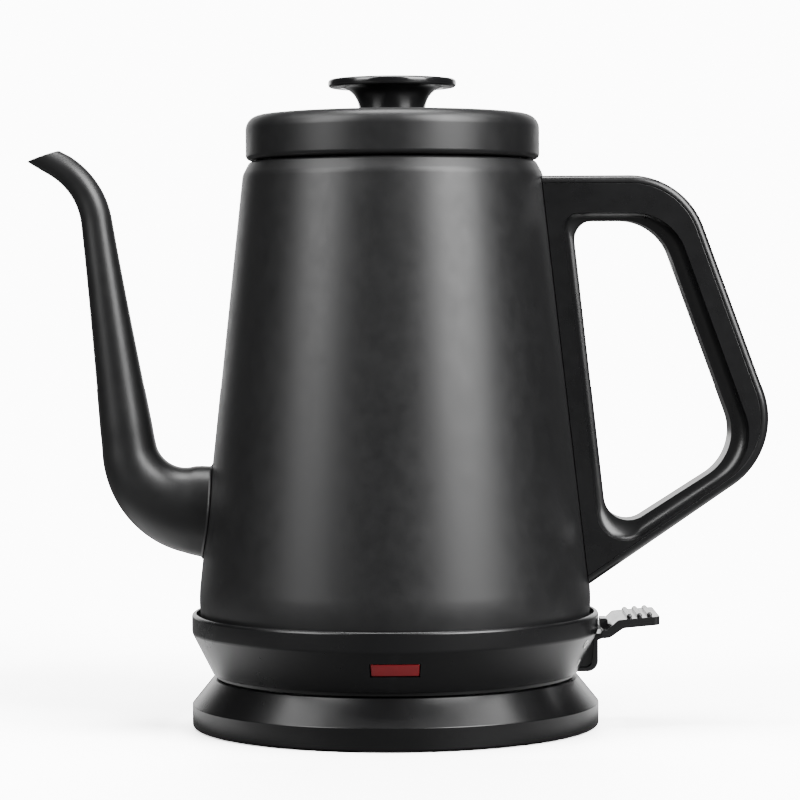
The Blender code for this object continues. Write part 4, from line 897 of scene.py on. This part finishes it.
def make_vessel():
    """Coated skin and bare steel inside of the body, its floor and the steam tube."""
    split = STEEL_WALL * COAT_SHARE
    outer = rounded(vessel_profile(0.0), closed=False, steps=10)
    middle = rounded(vessel_profile(split), closed=False, steps=10)
    inner = rounded(vessel_profile(STEEL_WALL), closed=False, steps=10)
    skin = turned("body_coat", outer + middle[::-1])
    liner = turned("body_liner", middle + inner[::-1])
    for obj in (skin, liner):
        combine(obj, [waterway()])
    piece(skin, "kettle", "powder_coat", POWDER_COAT, "body_shell")
    piece(liner, "kettle", "steel", VESSEL_STEEL)

    flange_top = floor_low + 0.0045
    wall = STEEL_WALL + GAP
    floor = turned("vessel_floor_fine", rounded([
        (0, floor_low, 0),
        (body_radius(floor_low) - wall, floor_low, 0.0012),
        (body_radius(flange_top) - wall, flange_top, 0.0003),
        (body_radius(flange_top) - wall - STEEL_WALL, flange_top, 0.0003),
        (body_radius(floor_high) - wall - STEEL_WALL, floor_high, 0.0006),
        (0, floor_high, 0),
    ], closed=False, steps=4))
    x = STEAM_TUBE_OFFSET
    below = (x, 0, floor_low - 0.003)
    above = (x, 0, floor_high + 0.003)
    combine(floor, [rod("Hole", below, above, STEAM_TUBE_RADIUS + GAP)])
    piece(floor, "kettle", "steel", STEEL, "vessel_floor")
    low = heat_plate_low - 0.0045
    high = body_rim - 0.0112
    bore = STEAM_TUBE_RADIUS - 0.0006
    tube = turned("steam_tube_fine", rounded([
        (STEAM_TUBE_RADIUS, low, 0),
        (STEAM_TUBE_RADIUS, high, 0.0003),
        (bore, high, 0.0003),
        (bore, low, 0),
    ], steps=4), SMALL_TURN, (x, 0))
    piece(tube, "kettle", "steel", STEEL, "steam_tube")


# ---------------------------------------------------------------- spout
def spout_line():
    """Centre line of the spout as closely spaced (distance from the body's axis, z) points."""
    root = (body_radius(SPOUT_ROOT_HEIGHT) - 0.0060, SPOUT_ROOT_HEIGHT)
    bends = rounded([
        (*root, 0),
        (*SPOUT_ELBOW, SPOUT_ELBOW_RADIUS),
        (*SPOUT_CREST, SPOUT_CREST_RADIUS),
        (*SPOUT_TIP, 0),
    ], closed=False, steps=24)
    path = [bends[0]]
    for point in bends[1:]:
        count = max(1, round((point - path[-1]).length / 0.0024))
        start = path[-1]
        path += [start.lerp(point, k / count) for k in range(1, count + 1)]
    reach = [0.0]
    for a, b in zip(path, path[1:]):
        reach.append(reach[-1] + (b - a).length)
    return path, reach


SPOUT_PATH, SPOUT_REACH = spout_line()


def tube_radius(s):
    """Half height of the spout's tube at a distance along it."""
    total = SPOUT_REACH[-1]
    riser_foot = total - SPOUT_RISER_LENGTH
    crest = total - SPOUT_CREST_LENGTH
    if s < riser_foot:
        return SPOUT_ROOT_TUBE + (SPOUT_RISER_TUBE - SPOUT_ROOT_TUBE) * smooth_share(s / riser_foot) ** 0.9
    if s < crest:
        share = (s - riser_foot) / (crest - riser_foot)
        return SPOUT_RISER_TUBE + (SPOUT_CREST_TUBE - SPOUT_RISER_TUBE) * (1 - (1 - share) ** 1.25)
    return SPOUT_CREST_TUBE + (SPOUT_TIP_RADIUS - SPOUT_CREST_TUBE) * (s - crest) / (total - crest)


def tube_ring(i, thinner, shift=0.0):
    """Ring of the spout's tube at one station of its path."""
    total = SPOUT_REACH[-1]
    ahead = SPOUT_PATH[min(i + 1, len(SPOUT_PATH) - 1)]
    behind = SPOUT_PATH[max(i - 1, 0)]
    along = (ahead - behind).normalized()
    across = Vector((-along.y, along.x))
    s = SPOUT_REACH[i]
    high = tube_radius(s) - thinner
    risen = smooth_share(s / (total - SPOUT_RISER_LENGTH))
    flat = SPOUT_ROOT_FLATNESS + (1 - SPOUT_ROOT_FLATNESS) * risen
    shear = SPOUT_TIP_SHEAR * smooth_share((s - total + SPOUT_SHEAR_LENGTH) / SPOUT_SHEAR_LENGTH)
    ring = []
    for p in circle(0, 0, 1, SMALL_TURN):
        point = SPOUT_PATH[i] + across * (p.y * high) + along * (shift - shear * p.y * high)
        ring.append(Vector((-point.x, p.x * high * flat, point.y)))
    return ring


def waterway():
    """Solid that opens the body's wall behind the spout."""
    rings = [tube_ring(i, SPOUT_WALL + GAP, -0.004 if i == 0 else 0.0) for i in range(8)]
    return mesh_object("Waterway", rings)


def on_body(point, margin):
    """Nearest place to a point on the body's cone, a margin outside it, at the same height."""
    radius = body_radius(point.z) + margin
    flat = Vector((point.x, point.y, 0)).normalized() * radius
    return Vector((flat.x, flat.y, point.z))


def meets_body(near, far, margin):
    """Where the line between two points crosses the body's cone."""
    for _ in range(40):
        middle = (near + far) / 2
        if math.hypot(middle.x, middle.y) < body_radius(middle.z) + margin:
            near = middle
        else:
            far = middle
    return far


def make_spout():
    """Gooseneck tube with a small weld bead where it meets the body."""
    first = next(i for i in range(len(SPOUT_PATH)) if all(
        math.hypot(p.x, p.y) > body_radius(p.z) + GAP + 2 * SPOUT_WELD for p in tube_ring(i, 0.0)))
    last = len(SPOUT_PATH)
    outer = [tube_ring(i, 0.0) for i in range(first, last)]
    inner = [tube_ring(i, SPOUT_WALL) for i in range(first, last)]
    foot_outer = [meets_body(a, b, GAP) for a, b in zip(tube_ring(0, 0.0), outer[0])]
    foot_inner = [meets_body(a, b, GAP) for a, b in zip(tube_ring(0, SPOUT_WALL), inner[0])]
    centre = sum(foot_outer, Vector()) / len(foot_outer)
    bead = []
    for foot, up in zip(foot_outer, outer[0]):
        rise = foot + (up - foot).normalized() * SPOUT_WELD
        spread = on_body(foot + (foot - centre).normalized() * SPOUT_WELD, GAP)
        arc = []
        for k in range(6):
            t = k / 5
            arc.append(rise * (1 - t) ** 2 + foot * 2 * t * (1 - t) + spread * t ** 2)
        bead.append(arc)
    bead_rings = [[arc[k] for arc in bead] for k in range(6)]
    last_out = bead_rings[-1]
    underside = [[on_body(a.lerp(b, k / 4), GAP) for a, b in zip(last_out, foot_inner)] for k in range(1, 4)]
    lip = []
    along = (SPOUT_PATH[-1] - SPOUT_PATH[-2]).normalized()
    for k in range(1, 6):
        turn = math.pi * k / 6
        share = (1 - math.cos(turn)) / 2
        push = Vector((-along.x, 0, along.y)) * (0.45 * SPOUT_WALL * math.sin(turn))
        lip.append([a.lerp(b, share) + push for a, b in zip(outer[-1], inner[-1])])
    rings = bead_rings[::-1] + outer + lip + inner[::-1] + [foot_inner] + underside[::-1]
    spout = mesh_object("spout_fine", rings, ring_shaped=True)
    piece(spout, "kettle", "powder_coat", SPOUT_COAT, "spout", sharp=50)


# ---------------------------------------------------------------- lid
def make_lid():
    """Lid shell, inner plate with its gasket, and the knob."""
    wall = STEEL_WALL
    crown_radius = 0.0150
    curl = LID_RADIUS - 0.0033
    bore = 0.0019
    shell = turned("lid_shell_fine", rounded([
        (curl, lid_low, 0.0002),
        (LID_RADIUS, lid_low, 0.0018),
        (LID_RADIUS, lid_high, 0.0050),
        (crown_radius, lid_crown, 0),
        (bore, lid_crown, 0),
        (bore, lid_crown - wall, 0),
        (crown_radius, lid_crown - wall, 0),
        (LID_RADIUS - wall, lid_high - wall, 0.0042),
        (LID_RADIUS - wall, lid_low + wall, 0.0010),
        (curl, lid_low + wall, 0.0002),
    ], steps=10))
    piece(shell, "lid", "powder_coat", LID_COAT, "lid_shell")

    plate_low = lid_low + wall + GAP
    plate_high = plate_low + 0.0018
    plug = MOUTH_RADIUS - LID_PLUG_CLEARANCE
    plug_low = lid_low - LID_PLUG_DEPTH
    toe = plug_low + 0.0012
    shoulder = toe + 0.0031
    plate = turned("lid_inner_fine", rounded([
        (0, plate_low, 0),
        (plug - PLASTIC_WALL, plate_low, 0.0008),
        (plug - PLASTIC_WALL, plug_low, 0.0004),
        (plug + 0.0009, plug_low, 0.0004),
        (plug + 0.0009, toe, 0.0002),
        (plug, toe, 0),
        (plug, shoulder, 0),
        (plug + 0.0012, shoulder, 0.0002),
        (plug + 0.0012, plate_low, 0.0004),
        (LID_RADIUS - wall - GAP, plate_low, 0.0003),
        (LID_RADIUS - wall - GAP, plate_high, 0),
        (0, plate_high, 0),
    ], closed=False, steps=4))
    piece(plate, "lid", "black_plastic", INNER_PLASTIC, "lid_inner")
    gasket = turned("lid_gasket_fine", rounded([
        (plug + GAP, toe + GAP, 0),
        (MOUTH_RADIUS - GAP, toe + GAP, 0.0005),
        (MOUTH_RADIUS - 0.0009, (toe + shoulder) / 2, 0.0002),
        (MOUTH_RADIUS - GAP, shoulder - GAP, 0.0005),
        (plug + GAP, shoulder - GAP, 0),
    ], steps=5))
    piece(gasket, "lid", "silicone", SILICONE, "lid_gasket")

    knob_low = lid_crown + GAP
    knob_top = lid_high + KNOB_HEIGHT
    rim_low = knob_top - KNOB_RIM
    flare_radius = KNOB_RADIUS - 0.0040
    waist = knob_low + 0.0006
    flare = []
    for sine, cosine in quarter(12):
        flare.append((
            KNOB_STEM_RADIUS + (flare_radius - KNOB_STEM_RADIUS) * (1 - cosine),
            waist + (rim_low - waist) * sine,
        ))
    rim = rounded([
        (flare_radius, rim_low, 0),
        (KNOB_RADIUS, rim_low, 0.0010),
        (KNOB_RADIUS, knob_top, 0.0011),
        (KNOB_RADIUS - 0.0030, knob_top, 0.0020),
        (0, knob_top - 0.0005, 0),
    ], closed=False, steps=8)
    shank_top = knob_low + 0.0055 + GAP
    bore = 0.0015 + GAP
    hollow = [(0, shank_top), (bore, shank_top), (bore, knob_low)]
    knob = turned("lid_knob_fine", hollow + [(KNOB_STEM_RADIUS, knob_low)] + flare + rim[1:], MEDIUM_TURN * 2)
    piece(knob, "lid", "gloss_black", GLOSS_BLACK, "lid_knob")


# ---------------------------------------------------------------- handle
def handle_lines():
    """Outer corners of the handle and the lines that bound the finger gap, as (x, z) vectors."""
    knuckle_level = handle_top - HANDLE_KNUCKLE_DROP
    foot_level = handle_top - HANDLE_FOOT_DROP
    root = Vector((body_radius(handle_top), handle_top))
    shoulder = Vector((body_radius(handle_top) + HANDLE_TOP_REACH, handle_top))
    knuckle = Vector((body_radius(knuckle_level) + HANDLE_KNUCKLE_REACH, knuckle_level))
    foot = Vector((body_radius(foot_level), foot_level))
    plate = tuple(Vector((body_radius(z) + HANDLE_PLATE, z)) for z in (foot_level, handle_top))
    bar = inset_line(root, shoulder, HANDLE_BAR, HANDLE_BAR)
    grip = inset_line(shoulder, knuckle, HANDLE_GRIP, HANDLE_GRIP)
    strut = inset_line(knuckle, foot, HANDLE_STRUT_TOP, HANDLE_STRUT_FOOT)
    return (root, shoulder, knuckle, foot), (plate, bar, grip, strut)


def handle_path(inset):
    """Open outline of the handle's back, moved inward, from inside the body round to the body."""
    (root, shoulder, knuckle, foot), _ = handle_lines()
    top = inset_line(root, shoulder, inset, inset)
    grip = inset_line(shoulder, knuckle, inset, inset)
    strut = inset_line(knuckle, foot, inset, inset)
    upper = crossing(top, grip)
    lower = crossing(grip, strut)
    start = Vector((root.x - 0.0060, top[0].y))
    end = strut[1] + (strut[1] - lower).normalized() * 0.0070
    return rounded([
        (*start, 0),
        (*upper, HANDLE_TOP_FILLET - inset),
        (*lower, HANDLE_KNUCKLE_FILLET - inset),
        (*end, 0),
    ], closed=False, steps=28)


def finger_gap(lines, widths, fillets):
    """Closed outline of the finger gap, with each side moved outward by its width."""
    moved = [inset_line(p, q, -at_p, -at_q) for (p, q), (at_p, at_q) in zip(lines, widths)]
    plate, bar, grip, strut = moved
    corners = [crossing(plate, bar), crossing(bar, grip), crossing(grip, strut), crossing(strut, plate)]
    return rounded([(*corner, fillet) for corner, fillet in zip(corners, fillets)], steps=20)


def make_handle():
    """Handle frame with its coved finger gap, the cover along its back, and its screws."""
    half = HANDLE_WIDTH / 2
    frame_piece = extruded("handle_frame_fine", handle_path(HANDLE_COVER + SEAM), half)
    soften(frame_piece, 0.0002, 2)
    combine(frame_piece, [body_tool("Trim", GAP)])
    section = rounded([
        (HANDLE_COVER, -half, 0.0002),
        (0, -half, COVER_EDGE),
        (0, half, COVER_EDGE),
        (HANDLE_COVER, half, 0.0002),
    ])
    paths = [handle_path(point.x) for point in section]
    stations = range(len(paths[0]))
    cover = mesh_object("handle_cover_fine", [
        [(path[i].x, point.y, path[i].y) for path, point in zip(paths, section)] for i in stations
    ])
    combine(cover, [body_tool("Trim", GAP)])
    piece(cover, "kettle", "handle_plastic", HANDLE_PLASTIC, "handle_cover", sharp=45)

    _, lines = handle_lines()
    gap = finger_gap(lines, ((0, 0),) * 4, FINGER_GAP_FILLETS)
    cove = finger_gap(lines, COVE_WIDTHS, COVE_FILLETS)
    rings = [[(p.x, -half - 0.001, p.y) for p in cove]]
    for sine, cosine in quarter(12):
        y = -half + COVE_DEPTH * sine
        edge = [a.lerp(b, cosine) for a, b in zip(gap, cove)]
        rings.append([(p.x, y, p.y) for p in edge])
    rings += [[(x, -y, z) for x, y, z in ring] for ring in rings[::-1]]
    combine(frame_piece, [mesh_object("Gap", rings)])

    for name, drop in zip(("top", "bottom"), HANDLE_SCREW_DROPS):
        z = handle_top - drop
        wall = body_radius(z)
        face = wall + HANDLE_PLATE
        seat = face - HANDLE_SCREW_SINK
        combine(frame_piece, [rod("Drilling", (seat, 0, z), (face + 0.002, 0, z), HANDLE_SCREW_HEAD + GAP)])
        head_face = seat + GAP + HANDLE_SCREW_HEAD_HEIGHT
        screw("handle_screw_" + name, (head_face, 0, z), (wall + 0.0012 + GAP, 0, z), HANDLE_SCREW_RADIUS,
              HANDLE_SCREW_HEAD, HANDLE_SCREW_HEAD_HEIGHT, "kettle")
    piece(frame_piece, "kettle", "handle_plastic", HANDLE_PLASTIC, "handle_frame", sharp=40)


# ---------------------------------------------------------------- switch lever
def make_lever():
    """Switch lever: hub and arms, skirt over the slot, stop, and full-width strip with ribs."""
    px, _, pz = lever_pivot
    half_arm = LEVER_ARM_WIDTH / 2
    half_strip = PADDLE_WIDTH / 2
    thick = LEVER_THICKNESS
    tip_x = COLLAR_RADIUS + PADDLE_REACH
    tip_low = collar_foot + PADDLE_RISE
    bend_x = tip_x - PADDLE_LENGTH
    bend_low = tip_low - PADDLE_SLOPE_RISE
    step_x = COLLAR_RADIUS + 0.0005
    step_low = collar_foot + STEP_RISE
    under = collar_edge - 0.0007
    strip = extruded("switch_lever_fine", rounded([
        (step_x, step_low, 0.0006),
        (step_x + 0.0027, step_low + 0.0003, 0.0030),
        (bend_x + 0.0018, bend_low, 0.0030),
        (tip_x, tip_low, 0.0003),
        (tip_x, tip_low + thick, 0.0003),
        (bend_x, bend_low + thick - 0.0001, 0.0020),
        (step_x + 0.0018, step_low + thick, 0.0020),
        (step_x, step_low + thick, 0.0006),
    ], steps=8), half_strip)
    plan = rounded([
        (step_x - 0.001, -half_strip, 0),
        (tip_x, -half_strip, PADDLE_CORNER),
        (tip_x, half_strip, PADDLE_CORNER),
        (step_x - 0.001, half_strip, 0),
    ], steps=8)
    levels = (step_low - 0.002, tip_low + thick + 0.002)
    combine(strip, [mesh_object("Plan", [[(p.x, p.y, z) for p in plan] for z in levels])], "INTERSECT")
    soften(strip, 0.0006, 4, 35)

    arm = extruded("Arm", rounded([
        (px, pz - 0.0013, 0),
        (COLLAR_RADIUS - 0.0010, under - 0.0024, 0.0030),
        (step_x + 0.0012, step_low - 0.0007, 0.0010),
        (step_x + 0.0030, step_low + 0.0010, 0),
        (step_x + 0.0030, step_low + 0.0020, 0),
        (step_x, under, 0),
        (COLLAR_RADIUS - 0.0010, under, 0.0030),
        (px, pz + 0.0016, 0),
    ], steps=8), half_arm)
    stop = extruded("Stop", rounded([
        (step_x + 0.0001, step_low + thick - 0.0006, 0),
        (step_x + STOP_LENGTH, step_low + thick - 0.0006, 0),
        (step_x + STOP_LENGTH, step_low + thick + STOP_HEIGHT, 0.0009),
        (step_x + 0.0001, step_low + thick + STOP_HEIGHT, 0.0003),
    ], steps=6), STOP_WIDTH / 2)
    soften(stop, 0.0003, 3)
    skirt = make_skirt(under - 0.0016, half_arm)
    inner_arm = extruded("Inner_arm", rounded([
        (px - 0.0075, pz - 0.0009, 0.0004),
        (px, pz - 0.0012, 0),
        (px, pz + 0.0012, 0),
        (px - 0.0075, pz + 0.0006, 0.0004),
    ], steps=4), half_arm - 0.0008)
    hub = extruded("Hub", circle(px, pz, 0.0025, SMALL_TURN), half_arm)
    tools = [arm, stop, skirt, inner_arm, hub]
    half = half_strip - RIB_INSET
    end = [(RIB_RADIUS * sine, RIB_RADIUS * (1 - cosine)) for sine, cosine in quarter(6)]
    profile = end + [(r, 2 * half - h) for r, h in end[::-1]]
    for k in range(PADDLE_RIBS):
        x = tip_x - 0.0032 - k * RIB_PITCH
        z = tip_low + thick - PADDLE_SLOPE_RISE * (tip_x - x) / PADDLE_LENGTH + 0.0004
        tools.append(stepped("Rib", (x, -half, z), (x, half, z), profile, SMALL_TURN))
    combine(strip, tools, "UNION")
    combine(strip, [rod("Bore", (px, -half_arm - 0.001, pz), (px, half_arm + 0.001, pz), PIN_RADIUS + GAP)])
    piece(strip, "lever", "gloss_black", GLOSS_BLACK, "switch_lever", sharp=35)


def make_skirt(top, half_arm):
    """Skirt over the slot, hollowed on both sides of a web."""
    low = collar_foot + 0.0001
    sink = 0.0008
    outer = COLLAR_RADIUS - 0.0004
    rim = 0.0012
    skirt = extruded("Skirt", rounded([
        (cone_radius(low) - sink, low, 0.0004),
        (outer, low, 0.0036),
        (outer, top, 0),
        (cone_radius(top) - sink, top, 0),
    ], steps=10), half_arm)
    soften(skirt, 0.0003, 3)
    hollows = []
    for side in (-1, 1):
        hollows.append(extruded("Hollow", rounded([
            (cone_radius(low + rim) - 0.0020, low + rim, 0),
            (outer - rim - 0.0009, low + rim, 0.0024),
            (outer - rim, top - 0.0006, 0),
            (cone_radius(top) - 0.0020, top - 0.0006, 0),
        ], steps=8), 0.0020, middle=side * half_arm))
    return combine(skirt, hollows)


# ---------------------------------------------------------------- switch marks
def on_cone(angle, z, out):
    """Point on the collar's cone, at an angle from +X towards -Y."""
    radius = cone_radius(z) + out
    return (radius * math.cos(angle), -radius * math.sin(angle), z)


def make_marks():
    """Printed marks beside the lever: a ring for off, above a bar for on."""
    film = 0.00006
    middle = math.radians(20)
    level = collar_foot + 0.0112
    rings = []
    for radius, out in ((0.0014, -film), (0.0014, film), (0.0010, film), (0.0010, -film)):
        rings.append([on_cone(middle + p.x / cone_radius(level), level + p.y, out)
                      for p in circle(0, 0, radius, SMALL_TURN)])
    off_mark = mesh_object("mark_off", rings, ring_shaped=True)
    middle = math.radians(17)
    level = collar_foot + 0.0043
    outline = rounded([
        (-0.0002, -0.0012, 0.00015),
        (0.0002, -0.0012, 0.00015),
        (0.0002, 0.0012, 0.00015),
        (-0.0002, 0.0012, 0.00015),
    ], steps=4)
    rings = []
    for out in (-film, film):
        rings.append([on_cone(middle + p.x / cone_radius(level), level + p.y, out) for p in outline])
    on_mark = mesh_object("mark_on", rings)
    for mark in (off_mark, on_mark):
        piece(mark, "kettle", "white_plastic", MARK_PAINT)


# ---------------------------------------------------------------- pieces inside
KEPT = (
    (BRASS, ("base_contact_line", "base_contact_neutral", "base_contact_earth", "steam_bimetal")),
    (INNER_PLASTIC, ("cord_clamp", "switch_carrier")),
    (ALUMINIUM, ("heat_plate",)),
    (STEEL, ("heating_element", "boil_dry_disc", "lever_pin", "snap_spring", "lid_screw")),
    (STEEL, ("handle_boss_top", "handle_boss_bottom")),
    (WHITE_PLASTIC, ("control_housing", "lamp_holder")),
    (LAMP_GLASS, ("indicator_lamp",)),
    (RED_LEAD, ("lamp_lead_a", "lamp_lead_b")),
)
BROKEN_EDGE = 0.00012


def finish_kept():
    """Gives each node that keeps its own shape its finish and slightly broken edges."""
    for material, names in KEPT:
        for name in names:
            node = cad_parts[name]
            node.data.materials.clear()
            node.data.materials.append(material)
            bevel = node.modifiers.new("Broken_edges", "BEVEL")
            bevel.width = BROKEN_EDGE
            bevel.segments = 2
            bevel.limit_method = "ANGLE"
            bevel.angle_limit = math.radians(50)


make_base()
make_base_connector()
make_cord_gland()
make_kettle_connector()
make_collar()
make_vessel()
make_spout()
make_lid()
make_handle()
make_lever()
make_marks()
finish_kept()


# ---------------------------------------------------------------- studio
MIDDLE = (0, 0, 0.11)
SOFTBOXES = (                  # name, azimuth from the camera, distance, height, size, power
    ("Key", 47, 1.5, 1.06, (1.00, 1.5), 87),
    ("Fill", -55, 1.5, 1.06, (0.80, 1.5), 37),
    ("Over_right", 89, 0.9, 1.3, (0.30, 0.42), 3.4),
    ("Over_left", -91, 0.9, 1.3, (0.30, 0.42), 2.9),
)
# Floor colours are painted light: a dark painted shade in front and a painted pool of light beside and behind
# the kettle
PAINTED_SHADE_FLOOR = (0.06, 0.06, 0.06)
PAINTED_LIGHT_FLOOR = (0.85, 0.85, 0.85)
PAINTED_LIGHT_FRONT = (-0.09, 0.0)       # Y over which the painted light on the floor comes in
PAINTED_LIGHT_START = (0.078, 0.096)     # distances from the axis over which the painted light comes in
PAINTED_LIGHT_END = (0.13, 0.24)         # and fades back to painted shade
WHITE_STRENGTH = 12.0          # surroundings as the camera sees them
SCREEN = (0.74, 0.97, 0.05, 2.2)  # direction's Y and strength, at the screen's edge and middle
CAMERA_PLACE = (0.0021, -1.069, 0.1476)
CAMERA_LENS = 139.5
CAMERA_DOWN = 1.9
CAMERA_ROLL = -0.33


def area_light(name, place, aim, size, power):
    """Softbox that faces a point."""
    data = bpy.data.lights.new(name, "AREA")
    data.shape = "RECTANGLE"
    data.size, data.size_y = size
    data.energy = power
    light = bpy.data.objects.new(name, data)
    light.location = place
    light.rotation_euler = (Vector(aim) - Vector(place)).to_track_quat("-Z", "Y").to_euler()
    bpy.context.scene.collection.objects.link(light)


def around_camera(azimuth, distance, height):
    """Place at an azimuth from the camera's side, positive to the right."""
    angle = math.radians(azimuth - 90)
    return (distance * math.cos(angle), distance * math.sin(angle), height)


for light_name, azimuth, distance, height, light_size, power in SOFTBOXES:
    area_light(light_name, around_camera(azimuth, distance, height), MIDDLE, light_size, power)
area_light("Top", (0, 0.05, 1.7), MIDDLE, (0.9, 0.6), 30)


def make_floor():
    """Pale floor with its soft shadow. Its colour is painted light: painted shade in front and a painted pool
    of light close beside and behind the kettle, which the kettle reflects.
    """
    reach = 4.0
    outline = [(-reach, -reach, 0), (reach, -reach, 0), (reach, reach, 0), (-reach, reach, 0)]
    mesh = bpy.data.meshes.new("Floor")
    mesh.from_pydata(outline, [], [(0, 1, 2, 3)])
    floor = bpy.data.objects.new("Floor", mesh)
    bpy.context.scene.collection.objects.link(floor)
    painted_floor = Nodes("Painted_light_floor", PAINTED_SHADE_FLOOR, 0.75, specular=0.2)
    split = painted_floor.tree.nodes.new("ShaderNodeSeparateXYZ")
    painted_floor.link(painted_floor.place, split.inputs[0])
    # Painted pool of light: lighter behind the kettle and in a ring close around it, painted shade elsewhere
    behind = painted_floor.spread(split.outputs["Y"], *PAINTED_LIGHT_FRONT, 0.0, 1.0)
    length = painted_floor.tree.nodes.new("ShaderNodeVectorMath")
    length.operation = "LENGTH"
    painted_floor.link(painted_floor.place, length.inputs[0])
    near = painted_floor.spread(length.outputs["Value"], *PAINTED_LIGHT_END, 1.0, 0.0)
    clear = painted_floor.spread(length.outputs["Value"], *PAINTED_LIGHT_START, 0.0, 1.0)
    painted_light_mask = painted_floor.multiply(behind, painted_floor.multiply(near, clear))
    mesh.materials.append(painted_floor.done(painted_floor.tint(painted_light_mask, PAINTED_SHADE_FLOOR, PAINTED_LIGHT_FLOOR)))
    floor.is_shadow_catcher = True


make_floor()


def make_world():
    """White surroundings in view; what the kettle reflects is dim but for the screen behind it."""
    world = bpy.data.worlds.new("Studio")
    bpy.context.scene.world = world
    world.use_nodes = True
    nodes = world.node_tree.nodes
    background = nodes["Background"]
    seen = nodes.new("ShaderNodeBackground")
    seen.inputs["Color"].default_value = (1, 1, 1, 1)
    seen.inputs["Strength"].default_value = WHITE_STRENGTH
    link = world.node_tree.links.new
    around_it = nodes.new("ShaderNodeTexCoord")
    split = nodes.new("ShaderNodeSeparateXYZ")
    ramp = nodes.new("ShaderNodeMapRange")
    ramp.interpolation_type = "SMOOTHSTEP"
    for name, number in zip(MAP_RANGE, SCREEN):
        ramp.inputs[name].default_value = number
    link(around_it.outputs["Generated"], split.inputs[0])
    link(split.outputs["Y"], ramp.inputs["Value"])
    link(ramp.outputs[0], background.inputs["Strength"])
    background.inputs["Color"].default_value = (1, 1, 1, 1)
    rays = nodes.new("ShaderNodeLightPath")
    mix = nodes.new("ShaderNodeMixShader")
    link(rays.outputs["Is Camera Ray"], mix.inputs[0])
    link(background.outputs[0], mix.inputs[1])
    link(seen.outputs[0], mix.inputs[2])
    link(mix.outputs[0], nodes["World Output"].inputs["Surface"])


make_world()

camera_data = bpy.data.cameras.new("Camera")
camera_data.lens = CAMERA_LENS
camera_data.sensor_width = 36
camera = bpy.data.objects.new("Camera", camera_data)
tilt = Matrix.Rotation(math.radians(90 - CAMERA_DOWN), 4, "X")
roll = Matrix.Rotation(math.radians(CAMERA_ROLL), 4, "Z")
camera.matrix_world = Matrix.Translation(CAMERA_PLACE) @ tilt @ roll
bpy.context.scene.collection.objects.link(camera)
bpy.context.scene.camera = camera

bpy.context.view_layer.update()
